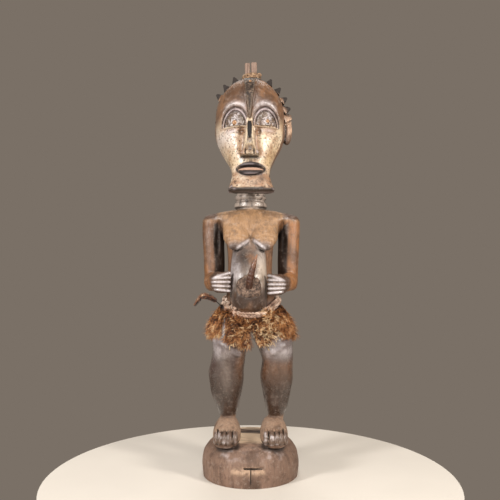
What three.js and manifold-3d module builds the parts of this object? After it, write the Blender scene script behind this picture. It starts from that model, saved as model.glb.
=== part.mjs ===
// A standing carved wooden power figure on its own round base, in millimetres.
// The figure faces -Y, up is +Z, and the origin is the middle of the flat underside.
// Left and right are as a viewer in front of the figure sees them.
import * as THREE from "three";
import { mergeVertices } from "three/addons/utils/BufferGeometryUtils.js";
import Module from "manifold-3d";

const wasm = await Module();
wasm.setup();

// Driving sizes
const GAP = 0.35;
const SOLE_LEVEL = 75;
const HAND_LEVEL = 381;
const LOWER_LID_LEVEL = 674;
const MOUTH_LEVEL = 592;
const CROWN_LEVEL = 785;
const TOP_LEVEL = 817;
const LEFT = -1;
const RIGHT = 1;

// Places of the numbers in a profile row: a level, the middle of the section at that
// level, its half width, its reach to the front and to the back, and how square it is.
const LEVEL = 0;
const SIDE = 1;
const MIDDLE = 2;
const HALF = 3;
const FRONT = 4;
const BACK = 5;
const SQUARE = 6;

const BASE_PROFILE = [
  [0, 0, 4, 94, 96, 97, 2],
  [24, 0, 4, 96, 98, 100, 2],
  [46, 0, 4, 93, 95, 97, 2],
  [60, 0, 4, 85, 86, 88, 2],
  [68, 0, 4, 77, 78, 79, 2],
  [73, 0, 4, 71, 72, 73, 2],
  [SOLE_LEVEL, 0, 4, 66, 67, 68, 2],
];

const LEFT_LEG_PROFILE = [
  [88, -45, 4, 15, 18, 22, 2.2],
  [112, -45, 3, 15, 18, 19, 2.2],
  [132, -45.5, 1, 20.5, 25, 25, 2.2],
  [165, -48, -2, 30.5, 32, 37, 2.2],
  [200, -48, -8, 34.5, 38, 42, 2.3],
  [228, -44, -18, 33, 44, 40, 2.4],
  [253, -41, -27, 32.5, 52, 34, 2.3],
  [275, -41.5, -22, 34, 52, 42, 2.3],
  [305, -39, -8, 34.5, 50, 50, 2.3],
  [330, -30, 0, 28, 40, 44, 2.2],
  [352, -20, 4, 16, 30, 34, 2.2],
];

const RIGHT_LEG_PROFILE = [
  [88, 50, 4, 15, 18, 22, 2.2],
  [112, 50.5, 3, 15, 18, 19, 2.2],
  [132, 51, 1, 21, 25, 25, 2.2],
  [165, 51.5, -2, 28, 32, 37, 2.2],
  [195, 51.5, -8, 32, 38, 42, 2.3],
  [228, 53, -18, 30, 44, 40, 2.4],
  [253, 49, -27, 33, 52, 34, 2.3],
  [275, 47, -22, 35, 52, 42, 2.3],
  [305, 41, -8, 36, 50, 50, 2.3],
  [330, 31, 0, 29, 40, 44, 2.2],
  [352, 20, 4, 16, 30, 34, 2.2],
];

const FOOT_PROFILE = [
  [SOLE_LEVEL - 6, 0, -26, 23, 46, 52, 2.6],
  [SOLE_LEVEL + 5, 0, -26, 26.5, 56, 55, 2.7],
  [SOLE_LEVEL + 14, 0, -26, 27, 55, 54, 2.6],
  [SOLE_LEVEL + 25, 0, -24, 24.5, 44, 49, 2.4],
  [SOLE_LEVEL + 35, 0, -18, 19, 27, 39, 2.2],
  [SOLE_LEVEL + 41, 0, -12, 11, 14, 27, 2],
];

const TORSO_PROFILE = [
  [286, 0, 2, 16, 20, 26, 2],
  [298, 0, 4, 42, 36, 42, 2.1],
  [320, 0, 5, 55, 42, 48, 2.3],
  [345, 0, 5, 50, 44, 44, 2.4],
  [370, -1, 5, 45.5, 45, 36, 2.6],
  [400, -1, 5, 44, 42, 32, 2.6],
  [440, -1, 4, 45, 40, 33, 2.6],
  [470, -1, 3, 50, 39, 36, 2.6],
  [495, 0, 2, 57, 37, 37, 2.6],
];

const BELLY_PROFILE = [
  [316, -3, -38, 18, 16, 10, 2],
  [322, -3, -38, 28, 32, 12, 2.1],
  [336, -3.5, -38, 34, 46, 14, 2.3],
  [358, -3.5, -38, 35.5, 51, 14, 2.4],
  [390, -3.5, -37, 35, 48, 14, 2.4],
  [418, -3.5, -34, 34, 38, 14, 2.4],
  [442, -3, -30, 32, 25, 14, 2.3],
  [464, -3, -26, 28, 14, 14, 2.2],
];

const SHOULDER_PROFILE = [
  [472, 0, 2, 52, 34, 34, 3],
  [488, 0, 2, 64, 37, 38, 3],
  [500, 0.5, 2, 78, 38, 39, 2.8],
  [510, 0.5, 2, 82, 35, 37, 2.8],
  [517, 0.5, 2, 74, 31, 33, 2.6],
  [522, 0.5, 3, 52, 27, 29, 2.4],
  [526, 0.5, 5, 31, 24, 27, 2],
];

const ARM_PROFILE = [
  [366, 77, 6, 8, 9, 9, 2],
  [371, 76, 5, 14, 16, 17, 2.1],
  [384, 73.5, 3, 18, 22, 22, 2.3],
  [410, 73.5, 2, 18.5, 23, 23, 2.5],
  [485, 75.5, 2, 19.5, 24, 25, 2.5],
  [502, 75, 2, 19.5, 25, 26, 2.5],
  [511, 74, 2, 17, 21, 22, 2.4],
  [516, 72, 2, 12, 14, 15, 2.2],
];
const ARM_TURN = 0.36;

const NECK_PROFILE = [
  [515, 0.5, 6, 32, 31, 31, 2],
  [527, 0.5, 6, 29, 28, 28, 2],
  [531.5, 0.5, 6, 32.5, 31, 31, 2],
  [538, 0.5, 6, 32, 31, 31, 2],
  [542.5, 0.5, 6, 28, 27, 27, 2],
  [550, 0.5, 6, 31.5, 30, 30, 2],
  [557.5, 0.5, 6, 27.5, 26, 26, 2],
  [565, 0.5, 6, 30.5, 29, 29, 2],
  [573, 0.5, 6, 27, 26, 26, 2],
  [620, 0.5, 6, 28, 28, 27, 2],
];

const SKULL_PROFILE = [
  [590, 0.5, -22, 36.5, 53, 24, 2.5],
  [606, 0.5, -16, 40.5, 58, 36, 2.4],
  [624, 0.5, -10, 50, 63, 52, 2.3],
  [645, 0.5, -6, 61, 66, 66, 2.25],
  [664, 0.5, -5, 67.5, 66, 73, 2.2],
  [690, 0.5, -5, 69, 66, 77, 2.2],
  [712, 0.5, -5, 68, 66, 76, 2.2],
  [734, 0.5, -5, 63.5, 62, 72, 2.15],
  [752, 0.5, -4, 54.5, 55, 65, 2.1],
  [766, 0.5, -3, 43.5, 46, 54, 2.05],
  [776, 0.5, -1, 31.5, 36, 41, 2],
  [782, 0.5, 1, 18, 23, 25, 2],
  [CROWN_LEVEL, 0.5, 2, 5, 6, 6, 2],
];

const BEARD_PROFILE = [
  [551, 1.5, -64, 42, 22, 18, 4.6],
  [553, 1.5, -64, 43.5, 23.5, 19, 4.6],
  [560, 1.3, -63, 41, 21.5, 20, 4.2],
  [570, 1, -60, 38, 20.5, 24, 3.6],
  [582, 0.6, -56, 36, 20, 30, 3],
  [600, 0.5, -52, 36, 20, 30, 2.6],
];

// Helpers for shapes

// Smooth value at a level, without overshoot, from rows sorted by level.
function valueAt(rows, place, level) {
  const last = rows.length - 1;
  if (level <= rows[0][LEVEL]) return rows[0][place];
  if (level >= rows[last][LEVEL]) return rows[last][place];
  let i = 0;
  while (rows[i + 1][LEVEL] < level) i += 1;
  const rise = (k) =>
    (rows[k + 1][place] - rows[k][place]) / (rows[k + 1][LEVEL] - rows[k][LEVEL]);
  const slope = (k) => {
    if (k === 0) return rise(0);
    if (k === last) return rise(last - 1);
    const before = rise(k - 1);
    const after = rise(k);
    return before * after <= 0 ? 0 : (2 * before * after) / (before + after);
  };
  const span = rows[i + 1][LEVEL] - rows[i][LEVEL];
  const t = (level - rows[i][LEVEL]) / span;
  const keep = (1 + 2 * t) * (1 - t) * (1 - t);
  return (
    keep * rows[i][place] +
    (1 - keep) * rows[i + 1][place] +
    span * t * (1 - t) * ((1 - t) * slope(i) - t * slope(i + 1))
  );
}

// A skin over rings of equal point counts, with a point at the middle of each end,
// or without ends where the last ring is the first one again.
function skinOver(rings, isLoop = false) {
  const sides = rings[0].length;
  const points = isLoop ? rings.slice(0, -1).flat() : rings.flat();
  const lastRing = (rings.length - 1) * sides;
  const index = [];
  for (let ring = 0; ring < lastRing; ring += sides)
    for (let k = 0; k < sides; k += 1) {
      const next = (k + 1) % sides;
      const above = isLoop ? (ring + sides) % lastRing : ring + sides;
      index.push(ring + k, ring + next, above + next);
      index.push(ring + k, above + next, above + k);
    }
  if (!isLoop) {
    const middleOf = (ring) =>
      ring.reduce((sum, p) => sum.add(p), new THREE.Vector3()).divideScalar(sides);
    const start = points.push(middleOf(rings[0])) - 1;
    const end = points.push(middleOf(rings[rings.length - 1])) - 1;
    for (let k = 0; k < sides; k += 1) {
      index.push(start, (k + 1) % sides, k);
      index.push(end, lastRing + k, lastRing + ((k + 1) % sides));
    }
  }
  return new THREE.BufferGeometry().setFromPoints(points).setIndex(index);
}

function signedPower(value, power) {
  return Math.sign(value) * Math.abs(value) ** power;
}

// An upright form whose section at each level follows the profile rows.
function upright(rows, sides, turn = 0) {
  const axis = new THREE.Vector3(0, 0, 1);
  const rings = rows.map((row) =>
    Array.from({ length: sides }, (_, k) => {
      const angle = (2 * Math.PI * k) / sides;
      const power = 2 / row[SQUARE];
      const depth = Math.sin(angle) < 0 ? row[FRONT] : row[BACK];
      return new THREE.Vector3(
        row[HALF] * signedPower(Math.cos(angle), power),
        depth * signedPower(Math.sin(angle), power),
        0,
      )
        .applyAxisAngle(axis, turn)
        .add(new THREE.Vector3(row[SIDE], row[MIDDLE], row[LEVEL]));
    }),
  );
  return skinOver(rings);
}

// How far forward an upright form reaches at a place across it and a level.
function frontOf(rows, across, level) {
  const square = valueAt(rows, SQUARE, level);
  const share = Math.abs(across - valueAt(rows, SIDE, level)) / valueAt(rows, HALF, level);
  const reach = (1 - Math.min(share, 0.999) ** square) ** (1 / square);
  return valueAt(rows, MIDDLE, level) - valueAt(rows, FRONT, level) * reach;
}

// A solid along a smooth path whose section changes from radius to radius.
// The section is wide along the given direction and flat times as thick across it.
function limb(points, radii, sides, { steps = 2, flat = 1, wide = [0, 0, 1] } = {}) {
  const curve = new THREE.CatmullRomCurve3(points.map((p) => new THREE.Vector3(...p)));
  const count = (points.length - 1) * steps;
  const rows = radii.map((radius, i) => [i, radius]);
  const rings = [];
  for (let i = 0; i <= count; i += 1) {
    const along = curve.getTangent(i / count);
    const across = new THREE.Vector3().crossVectors(along, new THREE.Vector3(...wide)).normalize();
    const broad = new THREE.Vector3().crossVectors(across, along).normalize();
    const radius = valueAt(rows, 1, (i / count) * (radii.length - 1));
    rings.push(
      Array.from({ length: sides }, (_, k) => {
        const angle = (2 * Math.PI * k) / sides;
        return curve
          .getPoint(i / count)
          .addScaledVector(broad, radius * Math.cos(angle))
          .addScaledVector(across, radius * flat * Math.sin(angle));
      }),
    );
  }
  return skinOver(rings);
}

function ball(middle, radii, around = 8, up = 5) {
  return new THREE.SphereGeometry(1, around, up)
    .rotateX(Math.PI / 2)
    .scale(...radii)
    .translate(...middle);
}

function block(middle, size) {
  return new THREE.BoxGeometry(...size).translate(...middle);
}

// Helpers for solids

function withSharedPoints(geometry) {
  const bare = geometry.clone();
  bare.deleteAttribute("normal");
  bare.deleteAttribute("uv");
  return mergeVertices(bare, 1e-4);
}

// The same form with each point moved outwards by a distance.
function grown(geometry, distance) {
  const shared = withSharedPoints(geometry);
  if (distance === 0) return shared;
  shared.computeVertexNormals();
  const at = shared.getAttribute("position");
  const normal = shared.getAttribute("normal");
  for (let i = 0; i < at.count; i += 1)
    at.setXYZ(
      i,
      at.getX(i) + distance * normal.getX(i),
      at.getY(i) + distance * normal.getY(i),
      at.getZ(i) + distance * normal.getZ(i),
    );
  shared.deleteAttribute("normal");
  return shared;
}

function solidOf(geometry, distance = 0) {
  const shared = grown(geometry, distance);
  return new wasm.Manifold(
    new wasm.Mesh({
      numProp: 3,
      vertProperties: new Float32Array(shared.getAttribute("position").array),
      triVerts: new Uint32Array(shared.index.array),
    }),
  );
}

function joined(solids) {
  return solids.reduce((sum, solid) => sum.add(solid));
}

// The corners of a solid's largest closed shell. Crumbs that a cut leaves and sealed
// hollows that a join leaves are shells of their own, and are left out.
function mainShell(corners, pointCount) {
  const link = Array.from({ length: pointCount }, (_, i) => i);
  const rootOf = (point) => {
    let root = point;
    while (link[root] !== root) root = link[root];
    link[point] = root;
    return root;
  };
  for (let i = 0; i < corners.length; i += 3) {
    link[rootOf(corners[i + 1])] = rootOf(corners[i]);
    link[rootOf(corners[i + 2])] = rootOf(corners[i]);
  }
  const counts = new Map();
  corners.forEach((point) => counts.set(rootOf(point), (counts.get(rootOf(point)) ?? 0) + 1));
  const [largest] = [...counts].sort((a, b) => b[1] - a[1])[0];
  return corners.filter((point) => rootOf(point) === largest);
}

function geometryOf(solid) {
  const mesh = solid.getMesh();
  const pointCount = mesh.vertProperties.length / 3;
  const geometry = new THREE.BufferGeometry();
  geometry.setAttribute("position", new THREE.BufferAttribute(mesh.vertProperties, 3));
  geometry.setIndex(mainShell(Array.from(mesh.triVerts), pointCount));
  geometry.computeVertexNormals();
  return geometry;
}

// A repeatable number from 0 to 1 for each pair of whole numbers.
function chance(index, salt) {
  const value = Math.sin(index * 12.9898 + salt * 78.233) * 43758.5453;
  return value - Math.floor(value);
}

// The carved figure, in lists of forms that are joined and forms that are cut away

const FOOT_PLACE = { [LEFT]: -46, [RIGHT]: 45.5 };
const TOE_RADII = [5.2, 5.6, 4.4, 4.1, 3.9];
const TOE_SET_BACK = [5, 0, 0.5, 2, 4.5];
const TOE_START = { [LEFT]: 24, [RIGHT]: 24 };
const TOE_FRONT = -84;

function feet() {
  return [LEFT, RIGHT].flatMap((hand) => {
    const forms = [upright(FOOT_PROFILE, 10).translate(FOOT_PLACE[hand], 0, 0)];
    let across = TOE_START[hand] + TOE_RADII[0];
    TOE_RADII.forEach((radius, toe) => {
      const front = TOE_FRONT + TOE_SET_BACK[toe];
      forms.push(
        limb(
          [
            [hand * across, front + 22, SOLE_LEVEL + 25],
            [hand * across, front + 4, SOLE_LEVEL + 17],
            [hand * across, front + 5, SOLE_LEVEL + 4],
          ],
          [radius * 0.85, radius * 1.15, radius * 0.85],
          4,
          { steps: 1, wide: [1, 0, 0] },
        ),
      );
      across += 0.94 * (radius + (TOE_RADII[toe + 1] ?? 0));
    });
    return forms;
  });
}

const FINGER_SPACING = 8.2;
const FINGER_RADIUS = 4.6;
const HAND_INNER = { [LEFT]: -36.5, [RIGHT]: 31 };
const HAND_OUTER = { [LEFT]: -76, [RIGHT]: 70 };
const HAND_DROP = { [LEFT]: 0, [RIGHT]: 4.5 };

// The forearms, the backs of the hands and five stacked fingers on each flank of the belly.
function hands() {
  return [LEFT, RIGHT].flatMap((hand) => {
    const inner = HAND_INNER[hand];
    const outer = HAND_OUTER[hand];
    const level = HAND_LEVEL - HAND_DROP[hand];
    const elbow = [hand * 73, 6, HAND_LEVEL + 2];
    const wrist = [outer - hand * 10, -56, level];
    const forms = [
      limb([elbow, [hand * 73, -26, HAND_LEVEL + 1], wrist], [18, 17.5, 15], 8, { steps: 1 }),
      ball([outer - hand * 15, -61, level], [15, 12, 20]),
    ];
    for (let finger = -2; finger <= 2; finger += 1) {
      const lift = finger * FINGER_SPACING;
      const tuck = finger * finger * 1.3;
      const slant = finger === 2 ? 5 : 0;
      forms.push(
        limb(
          [
            [outer - hand * (1 + tuck), -62, level + lift * 0.8 - slant],
            [outer - hand * (12 + tuck), -73, level + lift * 0.95 - slant * 0.5],
            [inner + hand * 4, -72, level + lift],
          ],
          [FINGER_RADIUS * 0.75, FINGER_RADIUS * 1.05, FINGER_RADIUS * 0.9],
          4,
          { steps: 1 },
        ),
      );
    }
    return forms;
  });
}

const ARM_SHIFT = 1.3;

function arms() {
  return [LEFT, RIGHT].map((hand) => {
    const rows = ARM_PROFILE.map((row) => row.with(SIDE, hand * row[SIDE] + ARM_SHIFT));
    return upright(rows, 8, hand * ARM_TURN);
  });
}

const BREAST_TIPS = { [LEFT]: [-29, -54, 450], [RIGHT]: [29, -54, 449] };

// Two flat breasts that meet in the middle and hang from the chest like a bib.
function breasts() {
  return [LEFT, RIGHT].map((hand) =>
    limb(
      [[hand * 27, -17, 502], [hand * 27, -31, 474], BREAST_TIPS[hand]],
      [27, 27, 14],
      8,
      { steps: 2, wide: [1, 0, 0], flat: 0.62 },
    ),
  );
}

// The hollows in front of the armpits, between the chest and the arms.
function armpits() {
  return [LEFT, RIGHT].map((hand) => ball([hand * 63, -33, 462], [8.5, 21, 42]));
}

function buttocks() {
  return [LEFT, RIGHT].map((hand) => ball([hand * 26, 30, 316], [26, 27, 31]));
}

const EYE_PLACE = { [LEFT]: -29.5, [RIGHT]: 29 };
const EYE_HALF = 19.5;
const EYE_HEIGHT = 28;

// Points on the face along a half-round arch over an eye, with its ends on the lower lid.
function archOver(hand, spread, count) {
  return Array.from({ length: count }, (_, i) => {
    const angle = (Math.PI * i) / (count - 1);
    const x = EYE_PLACE[hand] + (EYE_HALF + spread) * Math.cos(angle);
    const z = LOWER_LID_LEVEL + (EYE_HEIGHT + spread) * Math.sin(angle);
    return [x, frontOf(SKULL_PROFILE, x, z) + 0.5, z];
  });
}

function eyeball(hand) {
  const x = EYE_PLACE[hand];
  const y = frontOf(SKULL_PROFILE, x, LOWER_LID_LEVEL + 8) + 3.8;
  const rows = [
    [LOWER_LID_LEVEL - 1, x, y, 17.5, 5.5, 4, 2],
    [LOWER_LID_LEVEL + 6, x, y, 18, 7, 4, 2],
    [LOWER_LID_LEVEL + 15, x, y, 15.5, 6.5, 4, 2],
    [LOWER_LID_LEVEL + 22, x, y + 1, 10.5, 5, 4, 2],
    [LOWER_LID_LEVEL + 26, x, y + 2, 4, 2.5, 3, 2],
  ];
  return upright(rows, 6);
}

function eyes() {
  return [LEFT, RIGHT].flatMap((hand) => {
    const x = EYE_PLACE[hand];
    const lidStart = x - EYE_HALF - 2;
    const lidEnd = x + EYE_HALF + 2;
    const lidFront = (place) => frontOf(SKULL_PROFILE, place, LOWER_LID_LEVEL);
    return [
      eyeball(hand),
      limb(archOver(hand, 2.5, 6), [1.4, 2.6, 1.4], 3, { steps: 1, wide: [0, 1, 0] }),
      limb(
        [
          [lidStart, lidFront(lidStart) + 0.6, LOWER_LID_LEVEL],
          [x, lidFront(x) - 1.2, LOWER_LID_LEVEL],
          [lidEnd, lidFront(lidEnd) + 0.6, LOWER_LID_LEVEL],
        ],
        [1.4, 2.2, 1.4],
        4,
        { steps: 1 },
      ),
    ];
  });
}

// The hollows under the inner ends of the lower lids.
function eyeHollows() {
  return [LEFT, RIGHT].map((hand) => {
    const x = EYE_PLACE[hand] - hand * 13;
    const level = LOWER_LID_LEVEL - 8;
    return ball([x, frontOf(SKULL_PROFILE, x, level), level], [6.5, 5, 5.5], 6, 4);
  });
}

const NOSE_MIDDLE = -1.7;

const NOSE_SADDLE = frontOf(SKULL_PROFILE, NOSE_MIDDLE, 688);
const NOSE_FOOT = frontOf(SKULL_PROFILE, NOSE_MIDDLE, 617);
const NOSE_PROFILE = [
  [615, NOSE_MIDDLE, NOSE_FOOT + 6, 16.5, 22, 2, 2.4],
  [618, NOSE_MIDDLE, NOSE_FOOT + 6, 18, 25, 2, 2.4],
  [626, NOSE_MIDDLE, NOSE_FOOT + 5, 14, 23, 2, 2.2],
  [640, NOSE_MIDDLE, NOSE_SADDLE + 6, 10, 19, 2, 2],
  [668, NOSE_MIDDLE, NOSE_SADDLE + 6, 7.5, 13, 2, 2],
  [687, NOSE_MIDDLE, NOSE_SADDLE + 6, 6.5, 5.5, 2, 2],
];

function noseFront(level) {
  return frontOf(NOSE_PROFILE, NOSE_MIDDLE, level);
}

function nose() {
  const wing = (hand) =>
    ball([NOSE_MIDDLE + hand * 13, NOSE_FOOT - 4, 621], [5.5, 8, 6.5], 6, 5);
  return [upright(NOSE_PROFILE, 10), wing(LEFT), wing(RIGHT)];
}

const MOUTH_HALF = 26;
const LIP_FRONT = -83;

function lips() {
  const lip = (rise) =>
    limb(
      [
        [-MOUTH_HALF, LIP_FRONT + 14, MOUTH_LEVEL + 0.2 * rise],
        [-MOUTH_HALF * 0.5, LIP_FRONT + 4, MOUTH_LEVEL + 0.85 * rise],
        [0.5, LIP_FRONT + 1, MOUTH_LEVEL + rise],
        [MOUTH_HALF * 0.5 + 0.5, LIP_FRONT + 4, MOUTH_LEVEL + 0.85 * rise],
        [MOUTH_HALF + 0.5, LIP_FRONT + 14, MOUTH_LEVEL + 0.2 * rise],
      ],
      [2, 4.2, 5, 4.2, 2],
      4,
      { steps: 1 },
    );
  return [lip(7.2), lip(-5.6), ball([0.5, LIP_FRONT + 22, MOUTH_LEVEL], [27, 18, 14])];
}

const EAR_REACH = { [LEFT]: 71, [RIGHT]: 83.5 };

function ears() {
  return [LEFT, RIGHT].map((hand) =>
    ball([hand * (EAR_REACH[hand] - 11), 4, 684], [11, 10, 27]),
  );
}

function earHollows() {
  return [LEFT, RIGHT].map((hand) =>
    ball([hand * (EAR_REACH[hand] - 1), -5, 686], [5, 7, 18], 6, 5),
  );
}

const KNOB_WIDTH = 13.5;
const KNOB_HEIGHT = 15;
const KNOB_PROUD = 12.5;
const KNOB_MIDDLE = [0.5, -12, 690];
const KNOB_FIRST_ROW = 3;
const KNOB_ROW_STEP = 21;
const KNOB_STEP = 14;
const KNOB_TURN = 2.3;
// How far each row runs down each side, in degrees from the top. The coiffure is fuller
// on the right.
const KNOB_REACH = { [LEFT]: [50, 50, 52, 60, 60], [RIGHT]: [80, 80, 80, 60, 60] };

// A four-sided pointed knob, standing on the coiffure.
function knob(direction) {
  const inside = new THREE.Vector3(...KNOB_MIDDLE);
  let near = 20;
  let far = 120;
  for (let i = 0; i < 20; i += 1) {
    const reach = (near + far) / 2;
    const p = inside.clone().addScaledVector(direction, reach);
    const level = Math.min(p.z, CROWN_LEVEL);
    const depth = p.y - valueAt(SKULL_PROFILE, MIDDLE, level);
    const square = valueAt(SKULL_PROFILE, SQUARE, level);
    const across = Math.abs(p.x - 0.5) / valueAt(SKULL_PROFILE, HALF, level);
    const back = Math.abs(depth) / valueAt(SKULL_PROFILE, depth < 0 ? FRONT : BACK, level);
    const isInside = p.z < CROWN_LEVEL && across ** square + back ** square < 1;
    if (isInside) near = reach;
    else far = reach;
  }
  const place = inside.addScaledVector(direction, near + KNOB_PROUD - KNOB_HEIGHT / 2);
  const turn = new THREE.Quaternion().setFromUnitVectors(new THREE.Vector3(0, 1, 0), direction);
  return new THREE.ConeGeometry(KNOB_WIDTH * 0.76, KNOB_HEIGHT, 4)
    .rotateY(Math.PI / 4)
    .applyQuaternion(turn)
    .translate(place.x, place.y, place.z);
}

// Rows of knobs over the coiffure, from behind the face to the nape.
function knobs() {
  const directions = [];
  for (const hand of [LEFT, RIGHT])
    KNOB_REACH[hand].forEach((reach, row) => {
      const tilt = THREE.MathUtils.degToRad(KNOB_FIRST_ROW + row * KNOB_ROW_STEP);
      const start = (row % 2 ? 1 : 1.5) * KNOB_STEP;
      for (let angle = start; angle < reach; angle += KNOB_STEP) {
        const side = THREE.MathUtils.degToRad(hand * angle + KNOB_TURN);
        directions.push(
          new THREE.Vector3(
            Math.sin(side),
            Math.cos(side) * Math.sin(tilt),
            Math.cos(side) * Math.cos(tilt),
          ),
        );
      }
    });
  return directions.map(knob);
}

// A chipped slot and the upright crack below it, in the front of the base.
function baseDamage() {
  return [
    block([6.5, -96, 37], [37, 14, 3.6]),
    block([0.5, -96, 20], [1.1, 12, 46]),
  ];
}

function joinedForms() {
  return [
    upright(BASE_PROFILE, 20),
    upright(LEFT_LEG_PROFILE, 8),
    upright(RIGHT_LEG_PROFILE, 8),
    ...feet(),
    upright(TORSO_PROFILE, 12),
    upright(BELLY_PROFILE, 12),
    ...breasts(),
    ...buttocks(),
    upright(SHOULDER_PROFILE, 10),
    ...arms(),
    ...hands(),
    upright(NECK_PROFILE, 10),
    upright(BEARD_PROFILE, 12),
  ];
}

function faceForms() {
  return [...eyes(), ...nose(), ...lips(), ...ears(), ...knobs()];
}

const SKULL_SIDES = 16;

// The carving as one solid, with its surface moved outwards by a distance.
function figureSolid(distance) {
  const skull = upright(SKULL_PROFILE, SKULL_SIDES);
  const body = joined([skull, ...joinedForms()].map((form) => solidOf(form, distance)));
  const hollows = [...armpits(), ...eyeHollows(), ...earHollows()];
  const carved = body.subtract(joined(hollows.map((form) => solidOf(form, -distance))));
  const whole = joined([carved, ...faceForms().map((form) => solidOf(form, distance))]);
  return distance > 0 ? whole : whole.subtract(joined(baseDamage().map((form) => solidOf(form))));
}

// Slivers thinner than this are merged into their neighbours.
const FINEST = 0.1;

const figure = figureSolid(0).simplify(FINEST);
const figureWithGap = figureSolid(GAP);

// Pieces set on the head

const STRIP_THICKNESS = 1.2;
const STRIP_TOP_HALF = 11.5;
const STRIP_TOP = 772;
const STRIP_TIP = 689;
const STRIP_TIP_HALF = 1.5;

// A tapered strip that follows the forehead, cut from a thin shell over the skull.
function foreheadStrip() {
  const outline = new THREE.Shape();
  outline.moveTo(NOSE_MIDDLE - STRIP_TOP_HALF, STRIP_TOP);
  outline.lineTo(NOSE_MIDDLE - STRIP_TIP_HALF, STRIP_TIP);
  outline.lineTo(NOSE_MIDDLE + STRIP_TIP_HALF, STRIP_TIP);
  outline.lineTo(NOSE_MIDDLE + STRIP_TOP_HALF, STRIP_TOP);
  outline.closePath();
  const blank = new THREE.ExtrudeGeometry(outline, { depth: 90, bevelEnabled: false })
    .rotateX(Math.PI / 2)
    .translate(0, -20, 0);
  return solidOf(blank)
    .intersect(solidOf(upright(SKULL_PROFILE, SKULL_SIDES), GAP + STRIP_THICKNESS))
    .subtract(figureWithGap);
}

const NOSE_STRIP_HALF = 4.6;

function noseStrip() {
  const levels = [649, 664, 679];
  const front = levels.map((level) => noseFront(level));
  const blank = upright(
    levels.map((level, i) => [
      level,
      NOSE_MIDDLE,
      front[i],
      NOSE_STRIP_HALF - (i === 0 ? 2 : 0),
      GAP + STRIP_THICKNESS,
      4,
      4,
    ]),
    8,
  );
  return solidOf(blank).subtract(figureWithGap);
}

const CROWN_MIDDLE = [2, -8];
const COLLAR_TOP = 791;

function crownCollar() {
  const outline = [
    [0, 776],
    [17, 776],
    [18, 781],
    [19.2, 787],
    [17.5, COLLAR_TOP],
    [0, COLLAR_TOP],
  ].map(([radius, level]) => new THREE.Vector2(radius, level));
  const ring = new THREE.LatheGeometry(outline, 12)
    .rotateX(Math.PI / 2)
    .translate(...CROWN_MIDDLE, 0);
  return solidOf(ring).subtract(figureWithGap);
}

const STUB_PLACES = { [LEFT]: -8.2, [RIGHT]: 5 };
const STUB_HALVES = { [LEFT]: 5.2, [RIGHT]: 6 };
const STUB_TOPS = { [LEFT]: TOP_LEVEL - 1.5, [RIGHT]: TOP_LEVEL };

function crownStub(hand) {
  const half = STUB_HALVES[hand];
  const rows = [
    [COLLAR_TOP + GAP, 0, 0, half - 0.3, 5.5, 5.5, 5],
    [STUB_TOPS[hand] - 1.2, 0, 0, half, 5.8, 5.8, 5],
    [STUB_TOPS[hand], 0, 0, half - 0.6, 5, 5, 5],
  ];
  const x = CROWN_MIDDLE[0] + STUB_PLACES[hand];
  return solidOf(upright(rows, 12).translate(x, CROWN_MIDDLE[1], 0));
}

// A domed tack head whose flat foot looks back along +Y.
function tack(radius, height, place) {
  const profile = [
    [0, 0],
    [radius, 0],
    [radius * 0.85, height * 0.6],
    [radius * 0.45, height * 0.93],
    [0, height],
  ].map(([across, up]) => new THREE.Vector2(across, up));
  return new THREE.LatheGeometry(profile, 9).rotateX(Math.PI).translate(...place);
}

const PUPIL_PLACE = { [LEFT]: [-29.5, 680.5], [RIGHT]: [30.5, 682.5] };
const PUPIL_RADIUS = 5.2;

function pupil(hand) {
  const [x, z] = PUPIL_PLACE[hand];
  const y = frontOf(SKULL_PROFILE, x, z) + 1;
  return solidOf(tack(PUPIL_RADIUS, 6.5, [x, y, z])).subtract(figureWithGap);
}

function foreheadTack(strip) {
  const y = frontOf(SKULL_PROFILE, NOSE_MIDDLE, 764);
  const stripWithGap = solidOf(geometryOf(strip), GAP);
  return solidOf(tack(2.6, 5.5, [NOSE_MIDDLE + 1, y + 1, 764]))
    .subtract(stripWithGap)
    .subtract(figureWithGap);
}

// Pieces set on the belly and tied round the hips

const HORN_PATH = [
  [-3, -84, 366],
  [-1, -94, 384],
  [5, -100, 408],
  [12, -101, 431],
];
const HORN_RADII = [6.4, 6.3, 4.8, 1.1];

function bellyHorn(distance) {
  return solidOf(limb(HORN_PATH, HORN_RADII, 8, { steps: 2 }), distance);
}

function bellyCharge() {
  const lumps = [
    ball([-3, -83, 371], [23, 7.5, 23], 9, 5),
    ball([-4, -87, 360], [13, 6, 9], 6, 4),
  ];
  return joined(lumps.map((form) => solidOf(form)))
    .subtract(figureWithGap)
    .subtract(bellyHorn(GAP));
}

const CORD_RADIUS = 4.6;
const CORD_ROUTE = [
  [-51, 0, 346],
  [-46, -28, 337],
  [-38, -44, 329],
  [-24, -58, 322],
  [-4, -64, 319],
  [16, -62, 320],
  [33, -51, 324],
  [44, -34, 333],
  [50, -4, 345],
  [44, 36, 352],
  [0, 50, 354],
  [-44, 36, 352],
];
const CORD_STEPS = 20;
const CORD_SIDES = 4;

function cordHoop(distance) {
  const route = new THREE.CatmullRomCurve3(
    CORD_ROUTE.map((p) => new THREE.Vector3(...p)),
    true,
  );
  const up = new THREE.Vector3(0, 0, 1);
  const rings = Array.from({ length: CORD_STEPS }, (_, i) => {
    const along = route.getTangent(i / CORD_STEPS);
    const across = new THREE.Vector3().crossVectors(along, up).normalize();
    const broad = new THREE.Vector3().crossVectors(across, along);
    return Array.from({ length: CORD_SIDES }, (__, k) => {
      const angle = (2 * Math.PI * k) / CORD_SIDES;
      return route
        .getPoint(i / CORD_STEPS)
        .addScaledVector(broad, CORD_RADIUS * Math.cos(angle))
        .addScaledVector(across, CORD_RADIUS * Math.sin(angle));
    });
  });
  return solidOf(skinOver([...rings, rings[0]], true), distance);
}

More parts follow.
